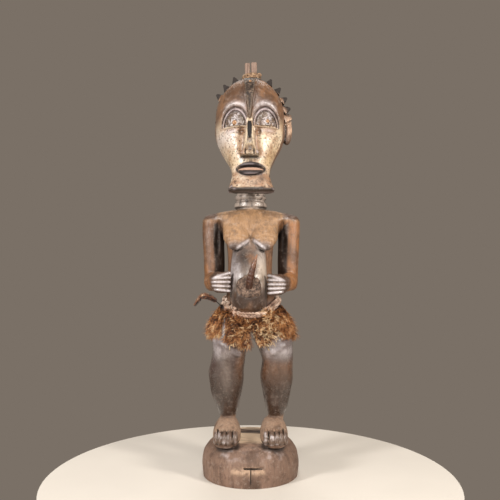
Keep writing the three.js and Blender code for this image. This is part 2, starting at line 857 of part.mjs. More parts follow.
// Each bunch hangs from a line on the cord to a line of tips, inside its own sector,
// and stands off the body by its bulge, in its outward direction.
const BUNCHES = {
  skirt_left: {
    root: [[-49, -34, 336], [-54, 20, 342]],
    tips: [[-62, -74, 270], [-84, 18, 280]],
    sector: [[-130, -95, 250], [-46.6, 24, 352]],
    outward: [-0.92, -0.4, 0],
    bulge: 13,
    tongues: 3,
  },
  skirt_front_left: {
    root: [[-43, -44, 325], [-6, -64, 319]],
    tips: [[-46, -84, 262], [-7, -84, 257]],
    sector: [[-46, -110, 248], [-2, 0, 352]],
    outward: [0, -1, 0],
    bulge: 12,
    tongues: 4,
  },
  skirt_front_right: {
    root: [[2, -64, 319], [44, -40, 328]],
    tips: [[3, -82, 260], [51, -84, 277]],
    sector: [[-1.4, -110, 248], [51, 0, 352]],
    outward: [0.1, -1, 0],
    bulge: 12,
    tongues: 4,
  },
  skirt_right: {
    root: [[49, -34, 336], [53, 20, 342]],
    tips: [[66, -72, 272], [86, 18, 276]],
    sector: [[51.6, -95, 250], [110, 24, 352]],
    outward: [0.92, -0.4, 0],
    bulge: 13,
    tongues: 3,
  },
  skirt_back: {
    root: [[-48, 38, 346], [48, 38, 346]],
    tips: [[-74, 46, 284], [74, 46, 284]],
    sector: [[-110, 24.6, 250], [110, 90, 358]],
    outward: [0, 1, 0],
    bulge: 23,
    tongues: 6,
  },
};
const FUR_THICKNESS = 7;
const TONGUE_LENGTH = 17;

function onLine([start, end], share) {
  return new THREE.Vector3(...start).lerp(new THREE.Vector3(...end), share);
}

// A hanging sheet of fur with a jagged lower edge, as rings from one side to the other.
function curtain({ root, tips, outward, bulge, tongues }, salt) {
  const out = new THREE.Vector3(...outward).normalize();
  const stations = 2 * tongues;
  const rings = Array.from({ length: stations + 1 }, (_, i) => {
    const share = i / stations;
    const top = onLine(root, share);
    const tip = onLine(tips, share + ((chance(i, salt) - 0.5) * 0.5) / stations);
    const isNotch = i % 2 === 0;
    tip.z += (isNotch ? TONGUE_LENGTH : 0) + 8 * (chance(i, salt + 10) - 0.5);
    const lean = bulge * (0.85 + 0.3 * chance(i, salt + 20));
    const middle = top.clone().lerp(tip, 0.5).addScaledVector(out, lean);
    return [
      top.clone().addScaledVector(out, 3),
      middle,
      tip,
      middle.clone().addScaledVector(out, -FUR_THICKNESS),
      top.clone().addScaledVector(out, -3),
    ];
  });
  const sheet = skinOver(rings);
  return solidOf(sheet).volume() < 0 ? skinOver(rings.reverse()) : sheet;
}

function skirtBunch(name, cord) {
  const { sector } = BUNCHES[name];
  const salt = Object.keys(BUNCHES).indexOf(name) + 1;
  const low = new THREE.Vector3(...sector[0]);
  const high = new THREE.Vector3(...sector[1]);
  const room = block(low.clone().add(high).multiplyScalar(0.5).toArray(), high.sub(low).toArray());
  return solidOf(curtain(BUNCHES[name], salt))
    .intersect(solidOf(room))
    .subtract(figureWithGap)
    .subtract(cord);
}

const FEATHER_ROUTE = [
  [-56, -26, 334],
  [-69.5, -27, 346],
  [-83, -27, 353],
  [-96, -26, 352.5],
  [-109.5, -26, 336],
];

function looseFeather(cord) {
  return solidOf(
    limb(FEATHER_ROUTE, [1.1, 2, 4.6, 4.2, 0.8], 4, { steps: 2, flat: 0.35, wide: [0, 0.5, 1] }),
  ).subtract(cord);
}

// The finished parts, each with its own material

const LOOKS = {
  carvedWood: { color: 0x5b3d28, roughness: 0.42, metalness: 0 },
  paleStub: { color: 0xb99c86, roughness: 0.75, metalness: 0 },
  paste: { color: 0x8a6a4e, roughness: 0.85, metalness: 0 },
  darkIron: { color: 0x3a3028, roughness: 0.5, metalness: 0.7 },
  copper: { color: 0xb5713c, roughness: 0.4, metalness: 0.9 },
  horn: { color: 0x3d2418, roughness: 0.35, metalness: 0 },
  charge: { color: 0x7b6650, roughness: 0.9, metalness: 0 },
  cord: { color: 0xa98b6c, roughness: 0.85, metalness: 0 },
  fur: { color: 0x8a5223, roughness: 0.8, metalness: 0 },
  straw: { color: 0xb98a4a, roughness: 0.75, metalness: 0 },
};

function part(name, solid, look) {
  const mesh = new THREE.Mesh(geometryOf(solid), new THREE.MeshStandardMaterial(LOOKS[look]));
  mesh.name = name;
  return mesh;
}

function skirt() {
  const cord = cordHoop(GAP);
  return Object.keys(BUNCHES).map((name) =>
    part(name, skirtBunch(name, cord), name === "skirt_front_right" ? "straw" : "fur"),
  );
}

const strip = foreheadStrip();
const figureGroup = new THREE.Group();
figureGroup.add(
  part("figure", figure, "carvedWood"),
  part("crown_collar", crownCollar(), "paste"),
  part("crown_stub_left", crownStub(LEFT), "paleStub"),
  part("crown_stub_right", crownStub(RIGHT), "paleStub"),
  part("forehead_strip", strip, "darkIron"),
  part("forehead_tack", foreheadTack(strip), "copper"),
  part("nose_strip", noseStrip(), "darkIron"),
  part("pupil_left", pupil(LEFT), "copper"),
  part("pupil_right", pupil(RIGHT), "copper"),
  part("belly_horn", bellyHorn(0).subtract(figureWithGap), "horn"),
  part("belly_charge", bellyCharge(), "charge"),
  part("waist_cord", cordHoop(0).subtract(figureWithGap), "cord"),
  ...skirt(),
  part("loose_feather", looseFeather(cordHoop(GAP)), "fur"),
);

export default figureGroup;
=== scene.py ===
"""Dressed model of a standing carved wooden power figure with a knobbed coiffure, a horn in
its belly and a skirt of fur and feathers.

The carved forms are worked out in millimetres, from the same profiles as the solids, and
turned into metres when they become meshes. Up is +Z and the figure faces -Y. Left and right
are as a viewer in front of the figure sees them.
"""

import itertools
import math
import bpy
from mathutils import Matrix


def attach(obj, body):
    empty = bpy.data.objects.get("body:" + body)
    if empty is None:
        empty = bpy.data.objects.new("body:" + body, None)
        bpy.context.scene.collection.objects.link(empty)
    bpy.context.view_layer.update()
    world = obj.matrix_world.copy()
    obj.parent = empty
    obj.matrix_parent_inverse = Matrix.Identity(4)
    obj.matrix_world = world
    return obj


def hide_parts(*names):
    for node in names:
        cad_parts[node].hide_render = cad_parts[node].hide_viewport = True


bl_info = {
    "name": "Carved power figure",
    "version": (1, 0, 0),
    "blender": (4, 5, 0),
    "location": "3D View > Sidebar > Figure",
    "description": "Builds a carved wooden figure with its metal, cord, fur and feathers",
    "category": "Object",
}

import bpy
import numpy as np
from bpy.props import FloatProperty, FloatVectorProperty, IntProperty, PointerProperty
from mathutils import Vector

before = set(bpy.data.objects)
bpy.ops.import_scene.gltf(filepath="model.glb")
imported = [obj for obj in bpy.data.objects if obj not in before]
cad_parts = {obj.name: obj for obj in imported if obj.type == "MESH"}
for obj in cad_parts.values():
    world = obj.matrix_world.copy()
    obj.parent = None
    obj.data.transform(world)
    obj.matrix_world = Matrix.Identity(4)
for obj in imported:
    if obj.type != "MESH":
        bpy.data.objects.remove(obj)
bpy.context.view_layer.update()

MM = 0.001
LEFT = -1
RIGHT = 1
BOTH = (LEFT, RIGHT)
SIDE_NAMES = {LEFT: "left", RIGHT: "right"}


# Numbers and colours

def from_hex(code):
    """Linear colour of a screen colour such as 0x8A6A4E."""
    parts = [((code >> shift) & 255) / 255.0 for shift in (16, 8, 0)]
    return tuple(p / 12.92 if p <= 0.04045 else ((p + 0.055) / 1.055) ** 2.4 for p in parts)


def smoothstep(low, high, value):
    share = np.clip((value - low) / (high - low), 0.0, 1.0)
    return share * share * (3.0 - 2.0 * share)


def hump(value, middle, width):
    return np.exp(-(((value - middle) / width) ** 2))


def band(value, low, low_full, high_full, high):
    """1 from low_full to high_full, and nothing below low and above high."""
    return smoothstep(low, low_full, value) * smoothstep(high, high_full, value)


def highest(*values):
    return np.maximum.reduce(values)


def unit(vectors):
    return vectors / np.linalg.norm(vectors, axis=-1, keepdims=True)


def soft_join(a, b, blend):
    """The lower of two distances, with a fillet about as wide as blend."""
    reach = np.maximum(blend - np.abs(a - b), 0.0) / blend
    return np.minimum(a, b) - reach * reach * blend * 0.25


def soft_cut(a, b, blend):
    return -soft_join(-a, b, blend)


def patches(points, size, seed, layers=1):
    """Smooth random values from -1 to 1 that change over about the given size in mm."""
    total = np.zeros(len(points))
    weight = 1.0
    for layer in range(layers):
        place = points / (size * 0.5**layer)
        cell = np.floor(place).astype(np.int64)
        share = place - cell
        share = share * share * (3.0 - 2.0 * share)
        value = np.zeros(len(points))
        for corner in itertools.product((0, 1), repeat=3):
            spot = cell + np.array(corner)
            mixed = spot[:, 0] * 374761393 + spot[:, 1] * 668265263 + spot[:, 2] * 1440662683
            mixed = (mixed + (seed + layer * 17) * 974634777) & 0xFFFFFFFF
            mixed = ((mixed ^ (mixed >> 13)) * 1274126177) & 0xFFFFFFFF
            level = ((mixed ^ (mixed >> 16)) & 0xFFFF) / 32767.5 - 1.0
            value += level * np.prod(np.where(corner, share, 1.0 - share), axis=1)
        total += weight * value
        weight *= 0.5
    return total


# Profiles of the carving in mm. A row holds a level, the middle of the section there in X
# and Y, its half width, its reach to the front and to the back, and how square it is.

SOLE_LEVEL = 75.0
HAND_LEVEL = 381.0
LOWER_LID_LEVEL = 674.0
MOUTH_LEVEL = 592.0
CROWN_LEVEL = 785.0

BASE_PROFILE = [
    (0, 0, 4, 94, 96, 97, 2),
    (24, 0, 4, 96, 98, 100, 2),
    (46, 0, 4, 93, 95, 97, 2),
    (60, 0, 4, 85, 86, 88, 2),
    (68, 0, 4, 77, 78, 79, 2),
    (73, 0, 4, 71, 72, 73, 2),
    (SOLE_LEVEL, 0, 4, 66, 67, 68, 2),
]
LEFT_LEG_PROFILE = [
    (88, -45, 4, 15, 18, 22, 2.2),
    (112, -45, 3, 15, 18, 19, 2.2),
    (132, -45.5, 1, 20.5, 25, 25, 2.2),
    (165, -48, -2, 30.5, 32, 37, 2.2),
    (200, -48, -8, 34.5, 38, 42, 2.3),
    (228, -44, -18, 33, 44, 40, 2.4),
    (253, -41, -27, 32.5, 52, 34, 2.3),
    (275, -41.5, -22, 34, 52, 42, 2.3),
    (305, -39, -8, 34.5, 50, 50, 2.3),
    (330, -30, 0, 28, 40, 44, 2.2),
    (352, -20, 4, 16, 30, 34, 2.2),
]
RIGHT_LEG_PROFILE = [
    (88, 50, 4, 15, 18, 22, 2.2),
    (112, 50.5, 3, 15, 18, 19, 2.2),
    (132, 51, 1, 21, 25, 25, 2.2),
    (165, 51.5, -2, 28, 32, 37, 2.2),
    (195, 51.5, -8, 32, 38, 42, 2.3),
    (228, 53, -18, 30, 44, 40, 2.4),
    (253, 49, -27, 33, 52, 34, 2.3),
    (275, 47, -22, 35, 52, 42, 2.3),
    (305, 41, -8, 36, 50, 50, 2.3),
    (330, 31, 0, 29, 40, 44, 2.2),
    (352, 20, 4, 16, 30, 34, 2.2),
]
FOOT_PROFILE = [
    (SOLE_LEVEL - 6, 0, -26, 23, 44, 52, 2.6),
    (SOLE_LEVEL + 5, 0, -26, 26.5, 50, 55, 2.7),
    (SOLE_LEVEL + 14, 0, -26, 27, 49, 54, 2.6),
    (SOLE_LEVEL + 25, 0, -24, 24.5, 43, 49, 2.4),
    (SOLE_LEVEL + 35, 0, -18, 19, 27, 39, 2.2),
    (SOLE_LEVEL + 41, 0, -12, 11, 14, 27, 2),
]
TORSO_PROFILE = [
    (286, 0, 2, 16, 20, 26, 2),
    (298, 0, 4, 42, 36, 42, 2.1),
    (320, 0, 5, 55, 42, 48, 2.3),
    (345, 0, 5, 50, 44, 44, 2.4),
    (370, -1, 5, 45.5, 45, 36, 2.6),
    (400, -1, 5, 44, 42, 32, 2.6),
    (440, -1, 4, 45, 40, 33, 2.6),
    (470, -1, 3, 50, 39, 36, 2.6),
    (495, 0, 2, 57, 37, 37, 2.6),
]
BELLY_PROFILE = [
    (316, -3, -38, 18, 16, 10, 2),
    (322, -3, -38, 28, 32, 12, 2.1),
    (336, -3.5, -38, 34, 46, 14, 2.3),
    (358, -3.5, -38, 35.5, 51, 14, 2.4),
    (390, -3.5, -37, 35, 48, 14, 2.4),
    (418, -3.5, -34, 34, 38, 14, 2.4),
    (442, -3, -30, 32, 25, 14, 2.3),
    (464, -3, -26, 28, 14, 14, 2.2),
]
SHOULDER_PROFILE = [
    (472, 0, 2, 52, 34, 34, 3),
    (488, 0, 2, 64, 37, 38, 3),
    (500, 0.5, 2, 78, 38, 39, 2.8),
    (510, 0.5, 2, 82, 35, 37, 2.8),
    (517, 0.5, 2, 74, 31, 33, 2.6),
    (522, 0.5, 3, 52, 27, 29, 2.4),
    (526, 0.5, 5, 31, 24, 27, 2),
]
ARM_PROFILE = [
    (366, 77, 6, 8, 9, 9, 2),
    (371, 76, 5, 14, 16, 17, 2.1),
    (384, 73.5, 3, 18, 22, 22, 2.3),
    (410, 73.5, 2, 18.5, 23, 23, 2.5),
    (485, 75.5, 2, 19.5, 24, 25, 2.5),
    (502, 75, 2, 19.5, 25, 26, 2.5),
    (511, 74, 2, 17, 21, 22, 2.4),
    (516, 72, 2, 12, 14, 15, 2.2),
]
ARM_TURN = 0.36
ARM_SHIFT = 1.3
NECK_PROFILE = [
    (515, 0.5, 6, 32, 31, 31, 2),
    (527, 0.5, 6, 29, 28, 28, 2),
    (531.5, 0.5, 6, 32.5, 31, 31, 2),
    (538, 0.5, 6, 32, 31, 31, 2),
    (542.5, 0.5, 6, 28, 27, 27, 2),
    (550, 0.5, 6, 31.5, 30, 30, 2),
    (557.5, 0.5, 6, 27.5, 26, 26, 2),
    (565, 0.5, 6, 30.5, 29, 29, 2),
    (573, 0.5, 6, 27, 26, 26, 2),
    (620, 0.5, 6, 28, 28, 27, 2),
]
SKULL_PROFILE = [
    (584, 0.5, -26, 34, 48, 12, 2.6),
    (594, 0.5, -22, 36.5, 53, 24, 2.5),
    (606, 0.5, -16, 40.5, 58, 36, 2.4),
    (624, 0.5, -10, 50, 63, 52, 2.3),
    (645, 0.5, -6, 61, 66, 66, 2.25),
    (664, 0.5, -5, 67.5, 66, 73, 2.2),
    (690, 0.5, -5, 69, 66, 77, 2.2),
    (712, 0.5, -5, 68, 66, 76, 2.2),
    (734, 0.5, -5, 63.5, 62, 72, 2.15),
    (752, 0.5, -4, 54.5, 55, 65, 2.1),
    (766, 0.5, -3, 43.5, 46, 54, 2.05),
    (776, 0.5, -1, 31.5, 36, 41, 2),
    (782, 0.5, 1, 18, 23, 25, 2),
    (CROWN_LEVEL, 0.5, 2, 5, 6, 6, 2),
]
BEARD_PROFILE = [
    (551, 1.5, -64, 42, 22, 18, 4.6),
    (553, 1.5, -64, 43.5, 23.5, 19, 4.6),
    (560, 1.3, -63, 41, 21.5, 20, 4.2),
    (570, 1, -60, 38, 20.5, 24, 3.6),
    (582, 0.6, -56, 36, 20, 30, 3),
    (600, 0.5, -52, 36, 20, 30, 2.6),
]


def smooth_rows(rows, levels):
    """Rows worked out at the given levels, smoothly and without overshoot."""
    rows = np.array(rows, float)
    at = rows[:, 0]
    values = rows[:, 1:]
    rise = np.diff(values, axis=0) / np.diff(at)[:, None]
    slope = np.zeros_like(values)
    slope[0] = rise[0]
    slope[-1] = rise[-1]
    before = rise[:-1]
    after = rise[1:]
    total = before + after
    level_there = (before * after <= 0) | (total == 0)
    slope[1:-1] = np.where(level_there, 0, 2 * before * after / np.where(level_there, 1, total))
    i = np.clip(np.searchsorted(at, levels, side="right") - 1, 0, len(at) - 2)
    span = (at[i + 1] - at[i])[:, None]
    t = np.clip((levels - at[i])[:, None] / span, 0.0, 1.0)
    keep = (1 + 2 * t) * (1 - t) ** 2
    bend = span * t * (1 - t) * ((1 - t) * slope[i] - t * slope[i + 1])
    return keep * values[i] + (1 - keep) * values[i + 1] + bend


# Forms: each one tells how far points are from its surface, less than nothing inside

class Upright:
    """A form whose section at each level follows profile rows."""

    STEP = 0.5

    def __init__(self, rows, turn=0.0):
        self.bottom = rows[0][0]
        self.top = rows[-1][0]
        levels = np.arange(self.bottom, self.top + self.STEP, self.STEP)
        table = smooth_rows(rows, levels)
        self.table = np.hstack([table, np.gradient(table[:, :5], self.STEP, axis=0)])
        self.turn = turn
        half = table[:, 2].max()
        depth = table[:, 3:5].max()
        if turn:
            half = depth = max(half, depth)
        self.low = np.array([table[:, 0].min() - half, table[:, 1].min() - depth, self.bottom])
        self.high = np.array([table[:, 0].max() + half, table[:, 1].max() + depth, self.top])

    def at(self, level):
        place = (np.clip(level, self.bottom, self.top) - self.bottom) / self.STEP
        row = np.minimum(place.astype(int), len(self.table) - 2)
        share = (place - row)[:, None]
        return (self.table[row] * (1 - share) + self.table[row + 1] * share).T

    def distance(self, p):
        side, middle, half, front, back, square, *lean = self.at(p[:, 2])
        x = p[:, 0] - side
        y = p[:, 1] - middle
        if self.turn:
            cos = math.cos(self.turn)
            sin = math.sin(self.turn)
            x, y = x * cos + y * sin, y * cos - x * sin
        is_front = y < 0
        depth = np.where(is_front, front, back)
        share = (np.abs(x / half) ** square + np.abs(y / depth) ** square) ** (1 / square)
        reach = np.hypot(x, y) + 1e-6
        radial = reach - reach / np.maximum(share, 1e-8)
        along = x / np.maximum(reach, 1e-3)
        deep = y / np.maximum(reach, 1e-3)
        widening = along**2 * lean[2] + deep**2 * np.where(is_front, lean[3], lean[4])
        slant = along * lean[0] + deep * lean[1] + widening
        ends = np.maximum(self.bottom - p[:, 2], p[:, 2] - self.top)
        return np.maximum(radial / np.sqrt(1 + slant**2), ends)

    def front_of(self, across, level):
        """How far forward the form reaches at a place across it and a level."""
        across = np.atleast_1d(np.asarray(across, float))
        level = np.broadcast_to(np.asarray(level, float), across.shape)
        side, middle, half, front, _, square, *_ = self.at(level)
        share = np.minimum(np.abs(across - side) / half, 0.999)
        return middle - front * (1 - share**square) ** (1 / square)


def smooth_path(points, count):
    """Points spread evenly by number along a smooth curve through the given points."""
    points = np.array(points, float)
    ends = np.vstack([2 * points[0] - points[1], points, 2 * points[-1] - points[-2]])
    place = np.linspace(0, len(points) - 1, count)
    i = np.minimum(place.astype(int), len(points) - 2)
    t = (place - i)[:, None]
    a, b, c, d = ends[i], ends[i + 1], ends[i + 2], ends[i + 3]
    turn = (2 * a - 5 * b + 4 * c - d) * t**2 + (3 * b - 3 * c + d - a) * t**3
    return 0.5 * (2 * b + (c - a) * t + turn)


def smooth_radii(radii, count):
    """Radii spread evenly by number between the given ones."""
    places = np.linspace(0, len(radii) - 1, count)
    return smooth_rows(list(enumerate(radii)), places)[:, 0]


class Limb:
    """A form along a smooth path, wide along one direction and flat times as thick across."""

    def __init__(self, points, radii, steps=4, flat=1.0, wide=None):
        count = (len(points) - 1) * steps + 1
        self.path = smooth_path(points, count)
        self.radii = smooth_radii(radii, count)
        self.flat = flat
        self.wide = None if wide is None else np.array(wide, float)
        reach = max(radii)
        self.low = self.path.min(axis=0) - reach
        self.high = self.path.max(axis=0) + reach

    def distance(self, p):
        best = np.full(len(p), 1e3)
        for i in range(len(self.path) - 1):
            a = self.path[i]
            run = self.path[i + 1] - a
            t = np.clip((p - a) @ run / (run @ run), 0.0, 1.0)
            off = p - a - t[:, None] * run
            radius = self.radii[i] + t * (self.radii[i + 1] - self.radii[i])
            if self.wide is None:
                gap = np.linalg.norm(off, axis=1) - radius
            else:
                across = off @ self.wide
                rest = np.linalg.norm(off - across[:, None] * self.wide, axis=1) / self.flat
                gap = (np.hypot(across, rest) - radius) * (1 + self.flat) / 2
            best = np.minimum(best, gap)
        return best


class Ball:
    """A ball, or an egg with its own radius in X, Y and Z."""

    def __init__(self, middle, radii):
        self.middle = np.array(middle, float)
        self.radii = np.array(radii, float)
        self.low = self.middle - self.radii
        self.high = self.middle + self.radii

    def distance(self, p):
        off = (p - self.middle + 1e-5) / self.radii
        near = np.linalg.norm(off, axis=1)
        steep = np.linalg.norm(off / self.radii, axis=1)
        return near * (near - 1) / np.maximum(steep, 1e-6)


class Block:
    """A block with its sides along X, Y and Z."""

    def __init__(self, middle, size):
        self.middle = np.array(middle, float)
        self.half = np.array(size, float) / 2
        self.low = self.middle - self.half
        self.high = self.middle + self.half

    def distance(self, p):
        off = np.abs(p - self.middle) - self.half
        outside = np.linalg.norm(np.maximum(off, 0), axis=1)
        return outside + np.minimum(off.max(axis=1), 0)


class Knob:
    """A four-sided knob with a small end that stands out along a direction."""

    WIDTH = 13.5
    HEIGHT = 15.0
    FOOT_HALF = WIDTH * 0.6
    END_HALF = WIDTH * 0.13

    def __init__(self, middle, direction):
        self.middle = middle
        self.up = direction
        self.side = unit(np.cross(direction, (0.0, 1.0, 0.0)))
        self.back = np.cross(self.side, self.up)
        self.low = middle - self.HEIGHT
        self.high = middle + self.HEIGHT

    def distance(self, p):
        off = p - self.middle
        height = off @ self.up
        share = height / self.HEIGHT + 0.5
        half = self.FOOT_HALF + (self.END_HALF - self.FOOT_HALF) * share
        wide = np.maximum(np.abs(off @ self.side), np.abs(off @ self.back))
        return np.maximum((wide - half) * 0.95, np.abs(height) - self.HEIGHT / 2)


MARGIN = 14.0
FAR = 60.0


class Carving:
    """Forms joined and cut one after another, and asked only near their own boxes."""

    def __init__(self):
        self.steps = []

    def join(self, blend, *forms):
        self.steps += [(form, blend, soft_join) for form in forms]
        return self

    def cut(self, blend, *forms):
        self.steps += [(form, blend, soft_cut) for form in forms]
        return self

    def distance(self, points):
        total = np.full(len(points), FAR)
        for form, blend, work in self.steps:
            near = np.all((points > form.low - MARGIN) & (points < form.high + MARGIN), axis=1)
            if near.any():
                total[near] = work(total[near], form.distance(points[near]), blend)
        return total


# From a carving to a mesh

CELLS = 8
BLOCKS_AT_ONCE = 400


def filled_grid(distance, low, high, step):
    """Distances on a grid, worked out only in the blocks that the surface runs through."""
    blocks = np.ceil((np.array(high) - low) / (step * CELLS)).astype(int)
    spots = np.stack(np.meshgrid(*[np.arange(n) for n in blocks], indexing="ij"), -1)
    spots = spots.reshape(-1, 3)
    middle = distance(low + (spots * CELLS + (CELLS - 1) / 2) * step)
    grid = np.where(middle < 0, -FAR, FAR).astype(np.float32).reshape(*blocks, 1, 1, 1)
    grid = np.broadcast_to(grid, (*blocks, CELLS, CELLS, CELLS)).copy()
    near = spots[np.abs(middle) < step * CELLS * 0.9 + 2]
    inner = np.stack(np.meshgrid(*[np.arange(CELLS)] * 3, indexing="ij"), -1).reshape(-1, 3)
    for group in np.array_split(near, max(1, len(near) // BLOCKS_AT_ONCE)):
        corners = (group[:, None, :] * CELLS + inner[None]).reshape(-1, 3)
        values = distance(low + corners * step).reshape(-1, CELLS, CELLS, CELLS)
        grid[group[:, 0], group[:, 1], group[:, 2]] = values
    return grid.transpose(0, 3, 1, 4, 2, 5).reshape(*(blocks * CELLS))


def surface_of(distance, low, high, step):
    """Points and four-sided faces of the closed surface where the distance is nothing."""
    low = np.array(low, float)
    grid = filled_grid(distance, low, high, step)
    inside = grid < 0
    offsets = np.array(list(itertools.product((0, 1), repeat=3)))
    size = np.array(grid.shape) - 1
    count = np.zeros(size, np.uint8)
    for a, b, c in offsets:
        count += inside[a:size[0] + a, b:size[1] + b, c:size[2] + c]
    cells = np.argwhere((count > 0) & (count < 8))
    values = [grid[tuple((cells + offset).T)] for offset in offsets]
    total = np.zeros((len(cells), 3))
    hits = np.zeros(len(cells))
    for i, j in itertools.combinations(range(8), 2):
        if np.abs(offsets[i] - offsets[j]).sum() != 1:
            continue
        crosses = (values[i] < 0) != (values[j] < 0)
        share = values[i] / np.where(crosses, values[i] - values[j], 1)
        spot = offsets[i] + share[:, None] * (offsets[j] - offsets[i])
        total += np.where(crosses[:, None], spot, 0)
        hits += crosses
    points = low + (cells + total / hits[:, None]) * step
    index = np.full(size, -1, np.int32)
    index[tuple(cells.T)] = np.arange(len(cells))
    return settled(points, distance, step), grid_faces(inside, index)


def grid_faces(inside, index):
    """A face for each grid edge that runs through the surface."""
    faces = []
    shape = inside.shape
    for axis in range(3):
        along, first, second = np.roll(np.eye(3, dtype=int), -axis, axis=0)
        here = inside[tuple(slice(0, n - a) for n, a in zip(shape, along))]
        there = inside[tuple(slice(a, n) for n, a in zip(shape, along))]
        edges = np.argwhere(here != there)
        turned = ~here[tuple(edges.T)]
        ring = [edges, edges - first, edges - first - second, edges - second]
        quad = np.stack([index[tuple(spot.T)] for spot in ring], axis=1)
        quad[turned] = quad[turned][:, ::-1]
        faces.append(quad)
    return np.vstack(faces)


def slope_of(distance, points, reach=0.4):
    """Direction in which the distance grows, and how fast."""
    steps = np.eye(3) * reach
    slope = np.stack([distance(points + s) - distance(points - s) for s in steps], axis=1)
    slope /= 2 * reach
    return slope, np.maximum(np.linalg.norm(slope, axis=1), 0.2)


def settled(points, distance, step):
    """Points moved the last bit onto the surface."""
    slope, steep = slope_of(distance, points)
    move = np.clip(distance(points) / steep**2, -step * 0.6, step * 0.6)
    return points - slope * move[:, None]


def mesh_of(name, points, faces):
    """A new object from points in mm and faces with equal numbers of corners."""
    mesh = bpy.data.meshes.new(name)
    sides = faces.shape[1]
    mesh.vertices.add(len(points))
    mesh.vertices.foreach_set("co", (np.asarray(points) * MM).ravel())
    mesh.loops.add(faces.size)
    mesh.loops.foreach_set("vertex_index", faces.ravel().astype(np.int32))
    mesh.polygons.add(len(faces))
    mesh.polygons.foreach_set("loop_start", np.arange(0, faces.size, sides, dtype=np.int32))
    mesh.update(calc_edges=True)
    mesh.validate()
    mesh.shade_smooth()
    piece = bpy.data.objects.new(name, mesh)
    bpy.context.collection.objects.link(piece)
    return piece


def with_modifiers_applied(piece):
    """Turns the piece with its modifiers into a plain mesh."""
    graph = bpy.context.evaluated_depsgraph_get()
    mesh = bpy.data.meshes.new_from_object(piece.evaluated_get(graph))
    piece.modifiers.clear()
    old = piece.data
    piece.data = mesh
    mesh.name = piece.name
    bpy.data.meshes.remove(old)
    return piece


def thinned(piece, triangles):
    """The piece with about the given number of triangles."""
    now = sum(len(face.vertices) - 2 for face in piece.data.polygons)
    if now > triangles:
        thin = piece.modifiers.new("Fewer faces", "DECIMATE")
        thin.ratio = triangles / now
        with_modifiers_applied(piece)
        piece.data.shade_smooth()
    return piece


def points_and_normals(piece):
    mesh = piece.data
    points = np.empty(len(mesh.vertices) * 3)
    normals = np.empty(len(mesh.vertices) * 3)
    mesh.vertices.foreach_get("co", points)
    mesh.vertex_normals.foreach_get("vector", normals)
    return points.reshape(-1, 3) / MM, normals.reshape(-1, 3)


def move_points(piece, points):
    piece.data.vertices.foreach_set("co", (points * MM).ravel())
    piece.data.update()


def set_number(piece, name, values):
    layer = piece.data.attributes.new(name, "FLOAT", "POINT")
    layer.data.foreach_set("value", np.asarray(values, np.float32))


def set_colour(piece, name, colours):
    layer = piece.data.attributes.new(name, "FLOAT_COLOR", "POINT")
    full = np.hstack([colours, np.ones((len(colours), 1))])
    layer.data.foreach_set("color", full.astype(np.float32).ravel())


def finished(piece, node):
    """Attaches a finished piece to the root body and hides the imported part that it stands for."""
    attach(piece, "root")
    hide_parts(node)


# The carved forms

FOOT_PLACE = {LEFT: -46.0, RIGHT: 45.5}
TOE_RADII = (5.2, 5.6, 4.4, 4.1, 3.9)
TOE_SET_BACK = (5.0, 0.0, 0.5, 2.0, 4.5)
TOE_START = 24.0
TOE_FRONT = -84.0
FINGER_SPACING = 8.2
FINGER_RADIUS = 4.4
HAND_INNER = {LEFT: -36.5, RIGHT: 31.0}
HAND_OUTER = {LEFT: -76.0, RIGHT: 70.0}
HAND_DROP = {LEFT: 0.0, RIGHT: 4.5}
EYE_PLACE = {LEFT: -29.5, RIGHT: 29.0}
EYE_HALF = 19.5
EYE_HEIGHT = 28.0
EYE_RADIUS = 23.0
NOSE_MIDDLE = -1.7
MOUTH_HALF = 26.0
LIP_FRONT = -83.0
EAR_REACH = {LEFT: 71.0, RIGHT: 83.5}
FACE_EDGE = {LEFT: -10.0, RIGHT: -36.0}
STRIP_TOP = 772.0
STRIP_TIP = 689.0
KNOB_PROUD = 12.5
KNOB_MIDDLE = np.array([0.5, -12.0, 690.0])
KNOB_FIRST_ROW = 3.0
KNOB_ROW_STEP = 21.0
KNOB_STEP = 14.0
KNOB_TURN = 2.3
KNOB_REACH = {LEFT: (50, 50, 52, 60, 60), RIGHT: (80, 80, 80, 60, 60)}


def moved(rows, side):
    return [(row[0], row[1] + side, *row[2:]) for row in rows]


def face_edge(x):
    """Where the mask-like face ends and the side of the head begins, in Y."""
    share = smoothstep(-40, 40, x)
    return FACE_EDGE[LEFT] + (FACE_EDGE[RIGHT] - FACE_EDGE[LEFT]) * share


def from_eye(u, v):
    """About how far in mm a place is outside the round of the upper lid."""
    return (np.sqrt((u / EYE_HALF) ** 2 + (v / EYE_HEIGHT) ** 2) - 1) * EYE_RADIUS


def eye_relief(u, v, hand):
    """Height of the carving round one eye, from its place across and above the lower lid."""
    out = from_eye(u, v)
    above = smoothstep(-2.0, 1.5, v)
    lid = 1.6 * hump(out, 3.4, 1.3) - 1.6 * hump(out, 0.6, 0.8) - 1.8 * hump(out, 6.6, 0.9)
    brow = 3.2 * hump(out, 13.5, 5.0) * smoothstep(6, 18, v)
    bulge = 4.6 * np.sqrt(np.maximum(1 - (u / 17.5) ** 2 - ((v - 8.5) / 16.5) ** 2, 0))
    bulge = np.where(v > 0.5, bulge, 0)
    inner_corner = -1.5 * hump(u + hand * 14, 0, 5) * hump(v, 9, 8)
    ledge = smoothstep(EYE_HALF + 4, EYE_HALF - 1, np.abs(u))
    lower_lid = (2.6 * hump(v, -0.6, 1.2) - 1.2 * hump(v, -3.4, 1.0)) * ledge
    bag = 1.8 * hump(v, -8.0, 4.0) * hump(u - hand * 5, 0, 12)
    hollow = -5.0 * hump(u + hand * 12.5, 0, 6.0) * hump(v, -8.5, 5.5)
    return above * (lid + brow + bulge + inner_corner) + lower_lid + bag + hollow


